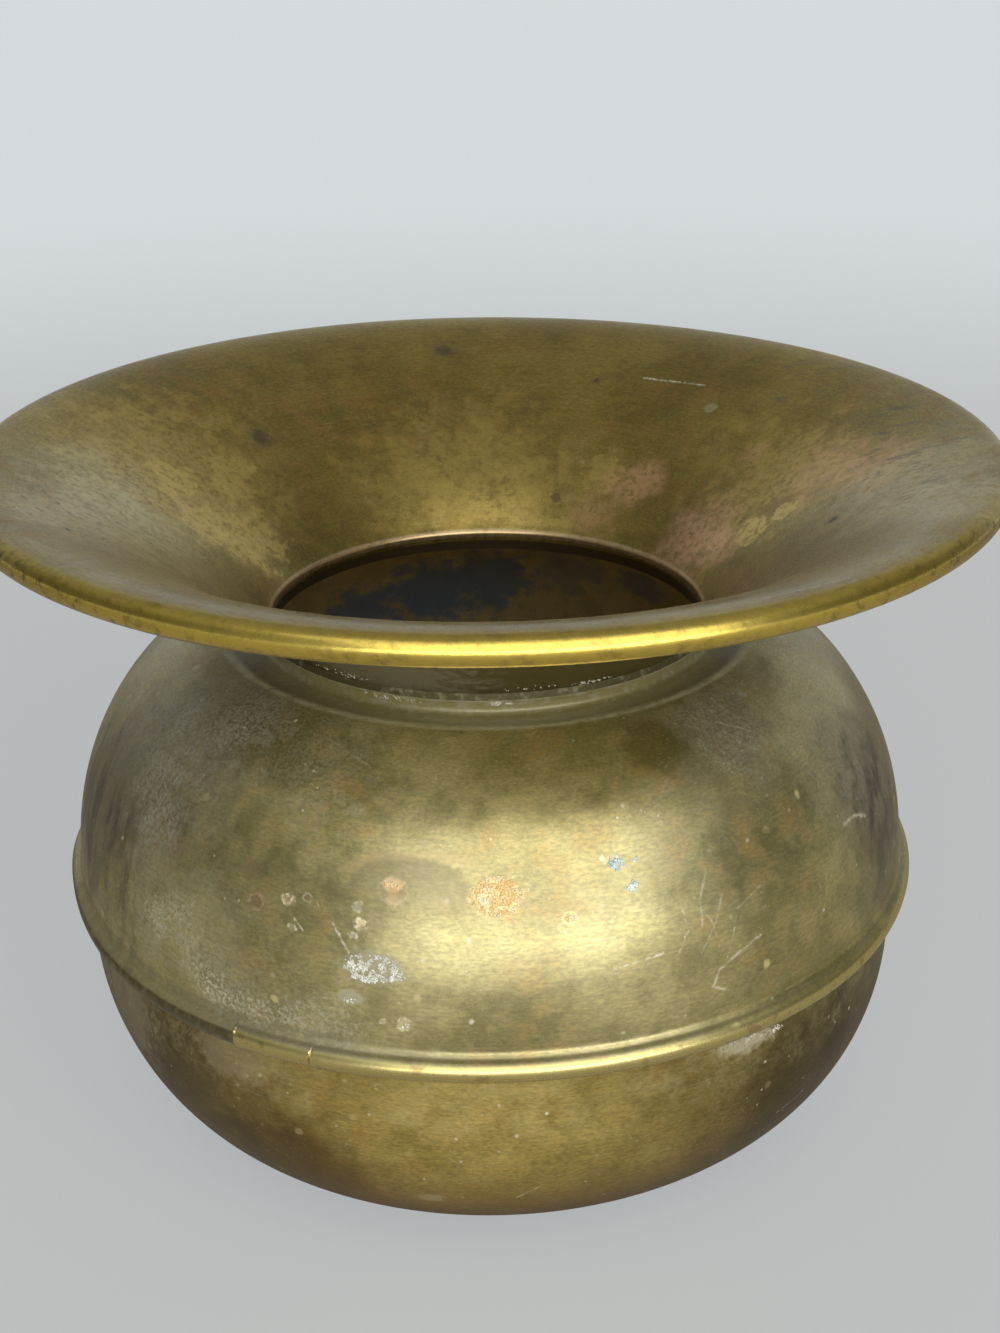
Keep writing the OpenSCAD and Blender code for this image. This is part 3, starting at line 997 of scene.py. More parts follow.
def mouth_areas(finish):
    fine = finish.ramp(finish.noise(*FINE_DIRT), 0.36, 0.56, 0.3, 1.0)
    # Golden patches low on both sides: thin tarnish with a painted reflection of light on it.
    gold_and_reflection = ((160, 60, 19, 0.6, 0.32, 0.35), (163, 60, 5, 0.85, 0.35, 0.12), (150, 55, 5, 0.8, 0.35, 0.12),
            (160, 46, 7, 0.8, 0.3, 0.2), (169, 52, 5, 0.75, 0.35, 0.15), (10.5, 48.8, 3.6, 0.9, 0.55, 0.08),
            (8, 54, 2.4, 0.85, 0.5, 0.08), (20, 56, 13, 0.5, 0.2, 0.25), (98, 47, 15, 0.55, 0.3, 0.4),
            (62, 49, 4, 0.6, 0.3, 0.15), (78, 43, 9, 0.4, 0.3, 0.3))
    patches(finish, "mouth", gold_and_reflection, GOLD_WEAR_AND_REFLECTION, fine, grain=4.5, seed=None)
    rose = ((26.5, 44, 6.9, 0.72), (16, 44, 4.025, 0.68), (52.5, 48, 4.6, 0.68), (10, 63, 8.05, 0.48),
            (2, 69, 6.9, 0.4), (30.4, 59, 2.3, 0.4), (60, 43, 4.6, 0.4))
    patches(finish, "mouth", rose, ROSE, fine, keen=0.4, grain=4, soft=0.55, seed=1)
    # Grey patches on the left and right of the flare: a painted reflection of the pale wall.
    grey_reflection_spots = ((-172, 61, 13, 0.7), (178, 68, 12, 0.5), (-160, 70, 12, 0.5), (-8, 70, 13, 0.5),
              (-22, 77, 12, 0.5))
    patches(finish, "mouth", grey_reflection_spots, GREY_REFLECTION_PAINT, fine, grain=6, soft=0.6)
    # Streaky dark patches near the rim at left and right: painted dark reflections.
    dark_reflection_streaks = finish.ramp(finish.drawn_out((0.75, -0.5, 0.3), 9, 1.2, 4, 17), 0.55, 0.68)
    dark_reflection_spots = ((14, 73, 10, 0.6), (1, 74, 10, 0.6), (-15, 77, 9, 0.6), (36, 76, 8, 0.6),
               (-166, 74, 9, 0.6), (172, 80, 6, 0.6))
    patches(finish, "mouth", dark_reflection_spots, DARK_REFLECTION_PAINT, dark_reflection_streaks, grain=6, soft=0.5, seed=1)


def mouth_marks(finish):
    for angle, radius, size in ((96.2, 74, 1.7), (136.3, 59.9, 1.8), (-9.9, 59.7, 0.9),
                                (-154, 73.5, 0.6), (70, 67, 0.6)):
        patches(finish, "mouth", [(angle, radius, size, 0.7)], SPOT, None, 0.4, 1.6, 0.5)
        patches(finish, "mouth", [(angle, radius, size * 1.7, 0.3)], SPOT_EDGE, None, 0.4, 1.6, 0.8)
    scratches(finish, "mouth", [(2.0, 0.4, (74, 51), (73, 47.5), (71.6, 43.8))], DRIP, 0.36)
    patches(finish, "mouth", [(71.6, 43.8, 1.0, 0.7)], DRIP_END, None, 0.7, 1.6, 0.4)
    lines = ((0.9, 0.8, (62, 68.8), (56, 69), (51, 69.3)),
             (0.6, 0.6, (-133, 80.8), (-129, 79.6), (-124, 79)),
             (0.6, 0.6, (-63, 84), (-58, 84.5), (-53, 85)),
             (0.4, 0.5, (-57, 82.5), (-50, 83.6)),
             (0.8, 0.6, (-159, 80), (-155, 78.6)))
    scratches(finish, "mouth", lines, SCRATCH)
    patches(finish, "mouth", [(46.9, 64.7, 1.3, 0.25)], FAINT, None, 0.8, 1.6, 0.4)


# %% The mouth's finish


def mouth_edges(finish):
    """The worn lip of the throat, also a painted highlight, and the rubbed and dirty roll of the rim,
    painted brighter at front and back and darker at its left and right ends.
    """
    worn = finish.ramp(finish.noise(*FINE_DIRT), 0.3, 0.6, 0.5, 0.95)
    # The lip's pale band: wear and a painted highlight.
    finish.over(finish.times(finish.band(lip_middle - 0.5, lip_middle + 0.4, 0.5), worn), *WORN_LIP_AND_HIGHLIGHT)
    rim = finish.along(mouth_rim_at - 1.0, mouth_rim_at + 2.6)
    rubbed = finish.ramp(finish.noise(3, 5, 0.65, 5), 0.3, 0.5, 0.5, 1.0)
    # Rubbed bright, with the share falling towards the left and right ends: a painted highlight at front
    # and back.
    finish.over(finish.times(rim, rubbed, finish.aside(86, 44, 0.3, 1.0)), *RUBBED_RIM_AND_HIGHLIGHT)
    dirt = finish.ramp(finish.noise(1.7, 4, 0.56, 6), 0.5, 0.68)
    # Dirt rising towards the left and right ends of the rim: painted shade there.
    finish.over(finish.times(rim, dirt, finish.aside(30, 85, 0.3, 0.95)), *RIM_DIRT_AND_SHADE)


def mouth_finish():
    finish = tarnish("mouth_brass_worn", MOUTH_TINTS, metal=0.9, rough=0.29, film=0.4, seed=11)
    wiped(finish, 0.35, colour(190, 178, 132), 3)
    mouth_areas(finish)
    mouth_marks(finish)
    pits = finish.ramp(finish.noise(1.0, 3, 0.6, 4), 0.66, 0.72)
    finish.over(finish.times(pits, finish.ramp(finish.noise(18, 2, 0.5, 4), 0.45, 0.6), 0.6), *PIT)
    mouth_edges(finish)
    under = finish.ramp(finish.layer("shown"), 0.6, 0.4)
    flare_below = finish.times(under, finish.along(mouth_rim_at - 2, mouth_rim_at - 4))
    # The flare's underside is painted darker: painted shade.
    finish.over(flare_below, *UNDERSIDE_SHADE)
    patches(finish, "under", [(-112, 46, 14, 0.35)], DUST, flare_below, 0.3, 1.6, 0.3)
    above = finish.ramp(finish.layer("shown"), 0.4, 0.6)
    # The inner wall of the spigot is painted near black: painted shade.
    finish.over(finish.times(above, finish.along(lip_middle - 0.9, SPIGOT)), *THROAT_WALL_SHADE)
    return finish.close()


mouth.data.materials.append(mouth_finish())

# %% [markdown]
# The upper body is olive with a satin sheen. On its front it carries an orange crust of corrosion
# and a few smaller ones, two drops of verdigris, chalky residue, dried drops and a tide mark. Its
# left shoulder is hazed grey by old polish, which also lies in the hollow over the bead. Dull dark
# patches under the haze are painted shade, and dark streaks at its left and right sides are dirt
# and painted shade. The top of its front is painted lighter and its right side darker. The sunk
# ledge at the neck is dull with dirt, with a pale line where collar and mouth meet, and the
# ridge's top carries a pale line of dust and painted highlight. The groove over the bead right of
# the split and the lower half of the bead left of it are painted darker, as painted shade, and the
# front half of the bead is rubbed bright and painted as a highlight.

# %% Layers of the upper body
UPPER_TINTS = (colour(144, 134, 76), colour(182, 171, 113), colour(168, 140, 76))
ORANGE = colour(246, 216, 150)
BROWN = colour(118, 88, 62)
# Painted shade: dull dark patches under the haze.
PAINTED_SHADE_PATCH = (colour(108, 100, 74), 0.6, 0.42)
OLD_POLISH = (HAZE, 0.4, 0.5)
WISP = (colour(206, 202, 176), 0.3, 0.6)
# Dark streaks at the left and right sides: dirt and painted shade.
SMUDGE_AND_SHADE = (colour(76, 66, 42), 0.7, 0.4)
OLIVE_PATCH = (colour(122, 108, 44), 0.85, 0.34)
TIDE = (colour(134, 124, 84), 0.6, 0.42)
TIDE_EDGE = (colour(206, 182, 126), 0.7, 0.4)
STAINED = (0.35, 0.5)
NECK_DIRT = (colour(144, 135, 86), 0.3, 0.55)
NECK_DUST = (HAZE, 0.25, 0.6)
# A pale line on the ridge's top: dust and a painted highlight.
RIDGE_HIGHLIGHT_AND_DUST = (colour(208, 201, 158), 0.4, 0.5)
JOINT_LINE = (colour(190, 186, 156), 0.3, 0.55)
HOLLOW_DUST = (colour(124, 118, 84), 0.35, 0.6)
# Painted shade in the groove between shell and bead.
CREVICE_SHADE = (colour(84, 74, 46), 0.5, 0.5)
# The bead rubbed bright, also a painted highlight on its front half.
RUBBED_BEAD_AND_HIGHLIGHT = (colour(214, 198, 118), 0.95, 0.27)
BEAD_SPOT = (colour(150, 112, 62), 0.9, 0.34)
# Painted shade on the lower half of the bead.
BEAD_UNDERSIDE_SHADE = (colour(92, 82, 42), 0.8, 0.4)
INSIDE = (colour(184, 170, 118), 0.45, 0.45)
INSIDE_CLOUD = (colour(142, 130, 90), 0.4, 0.5)
BLUE_BLOTCH = (colour(86, 108, 130), 0.1, 0.6)
ridge_at = along_at(shell_path, polar(RIDGE_C, RIDGE_TURN, 90))

# %% Where old polish and dust lie, and where shade is painted


def shell_haze(finish):
    # Patches of painted shade on the left and right of the shoulder.
    painted_shade_spots = ((-141, 88, 13, 0.6), (-150, 78, 16, 0.6), (-160, 66, 14, 0.6), (-50, 88, 12, 0.6),
              (-24, 64, 14, 0.6), (-28, 74, 10, 0.6))
    patches(finish, "shell", painted_shade_spots, PAINTED_SHADE_PATCH, grain=6, soft=0.7)
    one_way = finish.drawn_out((0.5, 0.35, 0.8), 16, 0.22, 3, 43)
    other_way = finish.drawn_out((-0.6, 0.2, 0.75), 13, 0.22, 3, 44)
    brushed = finish.ramp(finish.sum("MAXIMUM", one_way, other_way), 0.52, 0.74)
    dusty = finish.ramp(finish.noise(0.7, 5, 0.68, 15), 0.34, 0.66)
    cover = finish.sum("MULTIPLY_ADD", brushed, 0.5, finish.times(dusty, 0.5))
    polish = ((-141, 89, 10, 0.7), (-134, 89.3, 6, 0.9), (-134, 79, 7, 0.5), (-144, 77, 7.5, 0.95),
              (-140, 70, 7, 0.6), (-128, 63, 8, 0.45), (-138, 58, 5, 0.8), (-123, 52.5, 6, 0.8),
              (-112, 52, 6, 0.6), (-118, 88, 9, 0.6), (-47, 88.6, 8, 0.7), (-100, 86, 9, 0.3),
              (-64, 80, 9, 0.35), (-30, 80, 12, 0.6), (-152, 84, 9, 0.6), (-22, 70, 9, 0.5))
    patches(finish, "shell", polish, OLD_POLISH, cover, 0.42, 3.4, 0.5, seed=None)


def shell_dust(finish):
    threads = finish.ramp(finish.noise(0.55, 4, 0.72, 25), 0.44, 0.62, 0.06, 0.9)
    wisps = ((-137, 60.5, 3.6, 0.9, 0.4), (-133, 63.5, 3.0, 0.7, 0.25), (-131, 58, 3.4, 0.6, 0.2),
             (-125.5, 52, 3.6, 0.95, 0.45), (-121, 51.5, 3.4, 0.8, 0.4), (-116, 51.3, 4.4, 0.7, 0.3),
             (-109, 51.3, 5, 0.6, 0.2), (-128, 54.5, 3.4, 0.7, 0.25))
    for angle, height, size, strength, keen in wisps:
        wisp = patch(finish, spot_at("shell", angle, height), size, keen, 1.1, 0.5, 0.8, 1)
        finish.over(finish.times(wisp, threads, strength), *WISP)
    # Dark streaky patches at the left and right edges: dirt and painted shade.
    streaks_and_shade = finish.ramp(finish.drawn_out((0.45, 0.3, 1), 16, 4, 4, 47), 0.42, 0.66)
    smudge_and_shade_spots = ((-150, 60, 13, 0.7), (-160, 66, 12, 0.7), (-163, 72, 12, 0.7), (-24, 66, 12, 0.7),
               (-23, 72, 8, 0.7))
    patches(finish, "shell", smudge_and_shade_spots, SMUDGE_AND_SHADE, streaks_and_shade, grain=5, soft=0.5, seed=1)
    patches(finish, "shell", [(-62, 89.5, 5, 0.6)], OLIVE_PATCH, grain=5, soft=0.4)


# %% Stains, dried drops and scratches on the front


def shell_marks(finish):
    tide = patch(finish, spot_at("shell", -100.5, 74.6), 9.5, 2.2, 2, 0.3, 0.5)
    low = finish.ramp(finish.axis(2), 70 * MM, 77 * MM)
    finish.over(finish.times(tide, low, 0.55), *TIDE)
    tide_edge = (2.2, 0.4, (-109, 76.8), (-105.5, 78.3), (-102, 79), (-97.5, 79.2), (-93, 78.6))
    scratches(finish, "shell", [tide_edge], TIDE_EDGE, 0.3)
    for angle, height, size, tint, strength, tall in (
            (-89.3, 74.2, 3.5, ORANGE, 0.9, 0.72),
            (-102.4, 75.2, 1.7, colour(240, 206, 152), 0.75, 0.55),
            (-102.3, 74.4, 0.7, colour(214, 152, 98), 0.5, 0.8),
            (-102.3, 73.2, 1.4, colour(226, 190, 138), 0.4, 0.5),
            (-122.5, 73.6, 1.8, BROWN, 0.5, 1),
            (-120.5, 69.5, 1.6, BROWN, 0.5, 1),
            (-126, 70.5, 1.2, BROWN, 0.4, 1),
            (-104.3, 63, 5.0, colour(158, 162, 148), 0.45, 0.5),
            (-107, 58, 2.0, HAZE, 0.6, 0.6),
            (-80.4, 70.7, 1.1, colour(236, 222, 150), 0.8, 0.8),
            (-85.6, 47.6, 1.3, colour(150, 116, 92), 0.8, 0.8)):
        share = patch(finish, spot_at("shell", angle, height), size, 0.7, 1.3, 0.35, tall)
        finish.over(finish.times(share, strength), tint, *STAINED)
    for angle, height, size, wide, inside, line, strength in (
            (-102.3, 74.5, 2.2, 0.5, colour(150, 126, 80), PALE, 0.22),
            (-120.5, 69.5, 1.4, 0.45, colour(112, 84, 56), colour(214, 184, 148), 0.45),
            (-116.1, 70.9, 0.9, 0.7, colour(196, 166, 126), colour(240, 224, 188), 0.85),
            (-106, 69.6, 0.9, 0.6, colour(232, 214, 156), colour(240, 230, 190), 0.95),
            (-107, 67.6, 0.5, 0.35, HAZE, PALE, 0.7),
            (-106.6, 71.8, 0.8, 0.4, HAZE, PALE, 0.6),
            (-113.5, 71.8, 0.7, 0.35, BROWN, PALE, 0.6),
            (-115, 67.1, 0.5, 0.35, HAZE, PALE, 0.8),
            (-37.6, 90.3, 0.8, 0.4, HAZE, HAZE, 0.7),
            (-100.4, 54.5, 1.2, 0.4, colour(206, 190, 140), colour(234, 224, 190), 0.9),
            (-103, 54.7, 0.4, 0.35, PALE, PALE, 0.8)):
        dried_drop(finish, spot_at("shell", angle, height), size, wide, inside, line, strength)
    lines = ((0.7, 0.95, (-109.6, 68.9), (-108.4, 67), (-107.3, 65)),
             (0.5, 0.8, (-114.8, 68.5), (-113.4, 67)),
             (0.5, 0.6, (-112, 71.5), (-111.3, 70)),
             (0.6, 0.6, (-119, 90.1), (-109, 88.2)),
             (0.6, 0.8, (-75.5, 62.4), (-69.1, 63.4)),
             (0.4, 0.6, (-76.5, 61.5), (-71, 62.3)),
             (0.5, 0.5, (-64, 70.5), (-62, 66), (-61.5, 62)),
             (0.5, 0.6, (-58.5, 66), (-59.5, 62.5), (-60.5, 60)),
             (0.8, 0.75, (-60.5, 54.4), (-62.7, 55.8), (-61.7, 58.4), (-59.1, 59.9), (-55.2, 61.6)),
             (0.7, 0.45, (-63.5, 66.2), (-63.3, 69.9), (-61.6, 73.7)),
             (0.7, 0.45, (-60.1, 69.7), (-61.6, 66), (-64, 62)),
             (0.6, 0.4, (-66, 70), (-65.5, 66), (-67, 63)),
             (0.6, 0.4, (-58, 67), (-54, 69)),
             (1.2, 0.7, (-35.5, 70.4), (-32, 70.3), (-29.1, 68.7)),
             (0.7, 0.5, (-48.2, 89.2), (-43.4, 87.1)))
    scratches(finish, "shell", lines, SCRATCH, 0.38)


# %% The neck's ledge and the belly's bead


def neck_edges(finish):
    dirt = finish.noise(*FINE_DIRT)
    neck = finish.along(ridge_at + 0.5, ridge_at - 1.5)
    finish.over(finish.times(neck, 0.8), *NECK_DIRT)
    finish.over(finish.times(neck, finish.ramp(dirt, 0.46, 0.66), 0.5), *NECK_DUST)
    # The pale line along the ridge is dust and a painted highlight.
    crest = finish.band(ridge_at - 0.2, ridge_at + 0.5, 0.8)
    finish.over(finish.times(crest, finish.ramp(dirt, 0.34, 0.56, 0.3, 0.95)), *RIDGE_HIGHLIGHT_AND_DUST)
    joint = finish.times(finish.along(0.8, 0.3), finish.ramp(dirt, 0.34, 0.54), 0.8)
    finish.over(joint, *JOINT_LINE)


def bead_edges(finish):
    dirt = finish.noise(*FINE_DIRT)
    turn = finish.sum("ARCTAN2", finish.axis(1), finish.axis(0))
    left_end = finish.times(finish.ramp(turn, radians(-175), radians(-150)),
                            finish.ramp(turn, radians(-84), radians(-116)))
    hollow = finish.times(finish.band(hem_from - 2.4, hem_from + 0.7, 1.2), left_end)
    finish.over(finish.times(hollow, finish.ramp(dirt, 0.3, 0.6, 0.4, 1.0), 0.75), *HOLLOW_DUST)
    past_split = finish.ramp(turn, radians(SPLIT_AT) - 0.001, radians(SPLIT_AT) + 0.002)
    # The groove over the bead, right of the split, is painted darker: painted shade.
    crevice = finish.band(hem_from - 0.4, hem_from + 0.1, 0.45)
    finish.over(finish.times(crevice, past_split, 0.35), *CREVICE_SHADE)
    bead = finish.times(finish.band(hem_from + 1.0, shell_long - 1.6, 0.6), past_split)
    # Only the front half of the bead is brightened: rubbing and a painted highlight.
    handled_and_lit = finish.times(finish.ramp(turn, radians(20), radians(-20)),
                           finish.ramp(dirt, 0.26, 0.46, 0.45, 0.95))
    finish.over(finish.times(bead, handled_and_lit), *RUBBED_BEAD_AND_HIGHLIGHT)
    spotted = finish.ramp(finish.noise(*SPOTTED), 0.56, 0.66)
    finish.over(finish.times(bead, spotted, 0.5), *BEAD_SPOT)
    before_split = finish.sum("SUBTRACT", 1.0, past_split)
    # The lower half of the bead, left of the split, is painted darker: painted shade.
    low_half_shade = finish.times(finish.band(hem_from + 1.3, shell_long, 0.5), before_split)
    finish.over(finish.times(low_half_shade, finish.ramp(dirt, 0.3, 0.6, 0.6, 1.0)), *BEAD_UNDERSIDE_SHADE)


# %% The upper body's finish


def upper_finish():
    finish = tarnish("body_brass_satin", UPPER_TINTS, metal=0.74, rough=0.35, film=0.9, seed=2)
    finish.shader.inputs["Coat IOR"].default_value = 1.7
    shell_haze(finish)
    shell_dust(finish)
    wiped(finish, 0.5, colour(214, 204, 156), 9)
    dots(finish, 5.5, 0.9, colour(218, 204, 146), 0.75, 1)
    dots(finish, 3.4, 0.45, PALE, 0.75, 4)
    dots(finish, 2.1, 0.24, PALE, 0.65, 7)
    # Painted light and shade: the top of the front painted lighter, the right side below the shoulder
    # painted darker.
    painted_light_top_front = finish.times(finish.ramp(finish.axis(2), 72 * MM, 84 * MM), finish.aside(64, 24))
    painted_shade_right_side = finish.times(finish.ramp(finish.axis(0), 58 * MM, 68 * MM),
                              finish.ramp(finish.axis(2), 50 * MM, 54 * MM))
    finish.shade(finish.times(finish.sum("MULTIPLY_ADD", painted_light_top_front, 0.44, 1.0),
                              finish.sum("MULTIPLY_ADD", painted_shade_right_side, -0.26, 1.0)))
    shell_marks(finish)
    neck_edges(finish)
    bead_edges(finish)
    inside = finish.ramp(finish.layer("shown"), 0.6, 0.4)
    finish.over(inside, *INSIDE)
    clouds = finish.ramp(finish.noise(6, 6, 0.64, 5), 0.45, 0.6)
    finish.over(finish.times(inside, clouds, 0.5), *INSIDE_CLOUD)
    blotches = ((100, 69, 9, 0.95), (90, 72, 9, 0.9), (62, 74, 5, 0.7), (112, 66, 7, 0.9),
                (75, 76, 8, 0.5))
    patches(finish, "shell", blotches, BLUE_BLOTCH, inside, 0.4, 4, 0.3)
    return finish.close()


upper.data.materials.append(upper_finish())
print("the ridge lies", round(ridge_at, 1), "mm along the upper body's outline")

# %% [markdown]
# The lower body is dull khaki, because nobody polishes what faces the table. Fine specks and
# scratches run round it and pale dust lies under the bead. It is painted lighter along its front
# and back, and darker and browner at its sides and towards its foot, as painted shade.

# %% Layers of the lower body
LOWER_TINTS = (colour(160, 141, 76), colour(190, 171, 102), colour(166, 136, 72))
# Painted shade: darker brown towards the foot.
PAINTED_FOOT_SHADE = (colour(100, 70, 18), 0.92, 0.36)
# Painted shade: darker brown patches on the bowl's sides.
PAINTED_SIDE_SHADE = (colour(92, 72, 32), 0.8, 0.36)
FINE_ROWS = (colour(206, 192, 140), 0.6, 0.4)
UNDER_BEAD = (colour(190, 180, 130), 0.45, 0.5)
RESIDUE = (colour(180, 170, 142), 0.25, 0.6)
BOWL_INSIDE = (colour(196, 164, 100), 0.45, 0.5)
BOWL_INSIDE_CLOUD = (colour(120, 96, 60), 0.3, 0.55)
foot_from = along_at(bowl_path, (73, 30))
foot_full = along_at(bowl_path, (60, 9))

# %% The lower body's finish


def bowl_marks(finish):
    for angle, height, size, strength, tall in (
            (-56.5, 42.6, 5.6, 0.95, 0.4), (-125, 40, 8, 0.35, 0.5), (-148, 36, 9, 0.4, 1),
            (-98.6, 17.6, 2.2, 0.4, 0.6)):
        share = patch(finish, spot_at("bowl", angle, height), size, 0.5, 1.6, 0.35, tall)
        finish.over(finish.times(share, strength), *RESIDUE)
    lines = ((0.7, 0.6, (-87, 18.6), (-83.5, 22)), (0.7, 0.6, (-48.3, 22.4), (-43.7, 23.5)),
             (0.7, 0.6, (-161, 41), (-155, 33), (-148, 25)))
    scratches(finish, "bowl", lines, SCRATCH)


def lower_finish():
    finish = tarnish("bowl_brass_dull", LOWER_TINTS, metal=0.78, rough=0.39, film=0.12, seed=5)
    # Darker and browner towards the foot: painted shade.
    finish.over(finish.times(finish.along(foot_from, foot_full), 0.95), *PAINTED_FOOT_SHADE)
    # Dark brown patches on the left and right of the bowl: painted shade.
    side_shade_spots = ((-134, 30, 17, 0.75), (-150, 24, 18, 0.75), (-45, 28, 15, 0.75), (-28, 26, 18, 0.75),
               (-118, 20, 12, 0.75))
    patches(finish, "bowl", side_shade_spots, PAINTED_SIDE_SHADE, grain=8, soft=0.7)
    # Painted light and shade: lighter along the front and back, darker at the left and right sides.
    finish.shade(finish.aside(10, 60, 1.22, 0.54, middle=-9))
    wiped(finish, 0.45, colour(204, 192, 144), 19)
    rows = finish.ramp(round_lines(finish, 0.22, 3.0, 75), 0.62, 0.72)
    gathered = finish.ramp(finish.noise(14, 3, 0.5, 7), 0.42, 0.6)
    finish.over(finish.times(rows, gathered, 0.4), *FINE_ROWS)
    dots(finish, 4.5, 0.9, colour(196, 182, 128), 0.5, 2)
    dots(finish, 2.4, 0.36, PALE, 0.8, 6)
    dots(finish, 1.8, 0.24, PALE, 0.65, 8)
    top = finish.band(bowl_curl_from - 9, bowl_curl_from + 5, 7)
    clouds = finish.ramp(finish.noise(5, 5, 0.65, 7), 0.36, 0.7)
    specks = finish.ramp(finish.noise(*FINE_DIRT), 0.4, 0.6, 0.3, 1)
    finish.over(finish.times(top, clouds, specks, 0.42), *UNDER_BEAD)
    bowl_marks(finish)
    inside = finish.ramp(finish.layer("shown"), 0.6, 0.4)
    finish.over(inside, *BOWL_INSIDE)
    clouds = finish.ramp(finish.noise(8, 5, 0.65, 7), 0.45, 0.6)
    finish.over(finish.times(inside, clouds, 0.6), *BOWL_INSIDE_CLOUD)
    return finish.close()


bowl.data.materials.append(lower_finish())
print("the foot turns brown from", round(foot_from, 1), "mm along the outline")

# %% [markdown]
# The wire and the two rings of solder are hardly seen, but they are there and get their own
# finishes: dull iron, and solder under a brown film with paler spots where the film has gone.

# %% Wire and solder


def plain_metal(name, dark, light, rough):
    finish = Finish(name, dark, 0.5, rough)
    finish.over(finish.ramp(finish.noise(2.2, 5, 0.65, 3), 0.5, 0.68), light, 0.4, rough + 0.12)
    finish.lift(finish.times(finish.noise(0.8, 4), 0.08))
    return finish.close()


iron = plain_metal("wire_iron", colour(70, 60, 50), colour(120, 112, 100), 0.5)
solder = plain_metal("solder_brown", colour(84, 78, 46), colour(136, 132, 100), 0.55)
for thing, metal, slot in ((frame["nodes"]["rim_wire"], iron, "wire"),
                           (frame["nodes"]["neck_solder"], solder, "solder"),
                           (seam_ring, solder, "solder")):
    thing.data.materials.clear()
    thing.data.materials.append(metal)

# %% [markdown]
# The crusts are not flat stains: they are crumbs that stand on the metal. Each one here is a small
# lumpy pebble, pressed flat against the skin and sunk a little into it. They are strewn with a
# fixed seed, so that every run gives the same crust, and only where a cloudy noise is high, which
# gathers them in clumps. All the crumbs of one crust make one piece.

# %% Crumbs that stand on the metal
CLUMP = 0.9
WIDE, FLAT, SUNK = 1.3, 0.5, 0.12
LUMPY = (0.75, 1.2)


def crumb_mesh(name, heaps, sizes, seed, clumped):
    """A heap is piece, angle, level, reach round, reach along and number of crumbs."""
    luck = np.random.default_rng(seed)
    work = bmesh.new()
    for piece, angle, level, round_reach, long_reach, number in heaps:
        middle_radius = spot_at(piece, angle, level).xy.length / MM
        for _ in range(number):
            far, way = luck.random() ** 0.5, luck.random() * 2 * pi
            turned = angle + degrees(round_reach * far * cos(way) / middle_radius)
            here, out = skin_at(piece, turned, level + long_reach * far * sin(way))
            size, way = luck.uniform(*sizes) * (1.15 - 0.4 * far) * MM, luck.random() * 2 * pi
            lumps = luck.uniform(*LUMPY, 12)
            if noise.noise(here / (CLUMP * MM)) < clumped - 0.5 + 0.2 * luck.random():
                continue
            side = out.orthogonal().normalized()
            a = side * cos(way) + out.cross(side) * sin(way)
            axes = Matrix((a * size * WIDE, out.cross(a) * size, out * size * FLAT))
            place = Matrix.Translation(here + out * size * SUNK) @ axes.transposed().to_4x4()
            made = bmesh.ops.create_icosphere(work, subdivisions=1, radius=1)
            for vert, lump in zip(made["verts"], lumps):
                vert.co = place @ (vert.co * float(lump))
    for face in work.faces:
        face.smooth = True
    mesh = bpy.data.meshes.new(name)
    work.to_mesh(mesh)
    work.free()
    return mesh


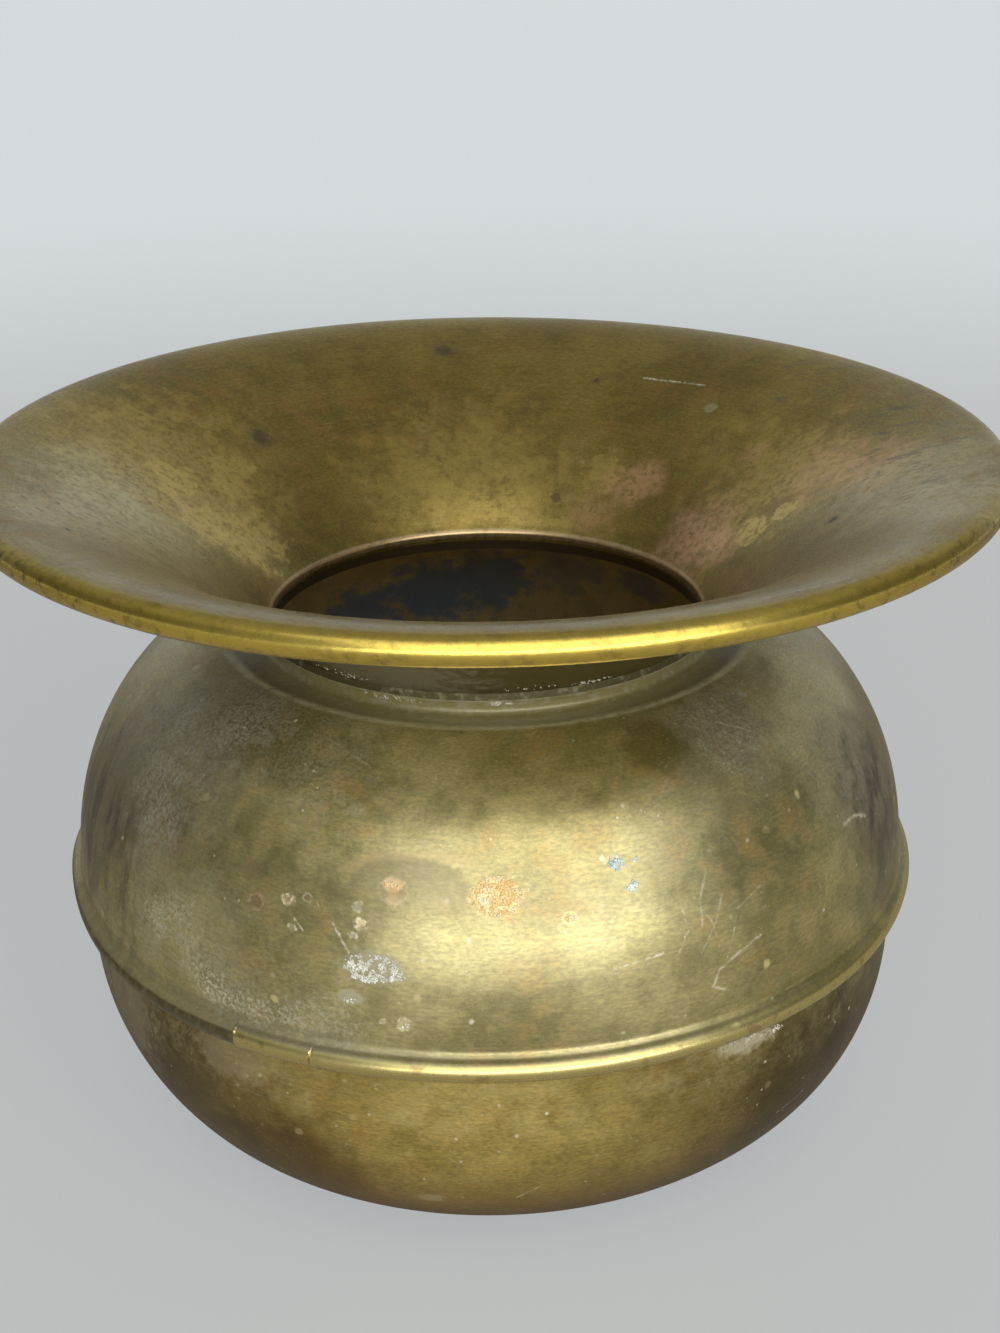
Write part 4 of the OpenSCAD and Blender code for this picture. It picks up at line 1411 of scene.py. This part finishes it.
def crumbs(name, tints, heaps, sizes, seed, clumped):
    """One crust: its crumbs, and a chalky finish of three tints."""
    mesh = crumb_mesh(name, heaps, sizes, seed, clumped)
    heap = bpy.data.objects.new(name, mesh)
    bpy.context.scene.collection.objects.link(heap)
    finish = Finish(name + "_finish", tints[0], 0.0, 0.75)
    finish.over(finish.ramp(finish.noise(0.9, 3, 0.6, 1), 0.42, 0.58), tints[1], 0.0, 0.8)
    finish.over(finish.ramp(finish.noise(1.7, 3, 0.6, 2), 0.5, 0.62), tints[2], 0.0, 0.7)
    finish.lift(finish.times(finish.noise(0.15, 2), 0.05))
    mesh.materials.append(finish.close())
    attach(heap, "root")
    print(name, "has", len(mesh.polygons), "faces")


# %% Corrosion, chalk, verdigris and residue
crumbs("corrosion_crust",
       (colour(250, 228, 172), colour(244, 208, 140), colour(255, 246, 212)),
       [("shell", -89.3, 74.2, 3.9, 2.7, 640), ("shell", -102.4, 75.2, 1.3, 0.4, 24),
        ("shell", -80.4, 70.7, 0.9, 0.7, 24)], (0.11, 0.32), 1, 0.12)
crumbs("chalk_crust",
       (colour(226, 228, 216), colour(196, 196, 180), colour(244, 246, 238)),
       [("shell", -104.3, 63.0, 4.8, 2.2, 900), ("shell", -102, 62.4, 2.2, 1.0, 160),
        ("shell", -107.2, 57.6, 1.2, 0.6, 24), ("shell", -100.6, 54.3, 1.0, 0.6, 20)],
       (0.09, 0.24), 2, 0.34)
crumbs("verdigris",
       (colour(224, 238, 236), colour(178, 208, 214), colour(246, 250, 248)),
       [("shell", -73.7, 77.2, 1.2, 1.0, 80), ("shell", -72.1, 73.9, 0.9, 0.7, 44),
        ("shell", -71.2, 77.4, 0.5, 0.4, 8)], (0.14, 0.36), 3, 0.1)
crumbs("seam_crust",
       (colour(206, 198, 176), colour(160, 148, 122), colour(228, 222, 204)),
       [("bowl", -57.0, 42.9, 5.6, 1.2, 260), ("bowl", -52.0, 42.2, 2.2, 0.7, 80)],
       (0.08, 0.24), 4, 0.36)
crumbs("neck_crust",
       (colour(216, 212, 192), colour(180, 174, 142), colour(232, 230, 216)),
       [("shell", -88.5, 92.7, 1.1, 0.45, 90), ("shell", -85.2, 92.7, 0.7, 0.35, 44),
        ("shell", -112, 92.6, 5.5, 0.5, 90), ("under", -66.5, 41.2, 4.0, 0.5, 70),
        ("under", -80, 41.6, 6, 0.6, 30), ("under", -125, 41.6, 6, 0.9, 60)],
       (0.07, 0.20), 5, 0.3)
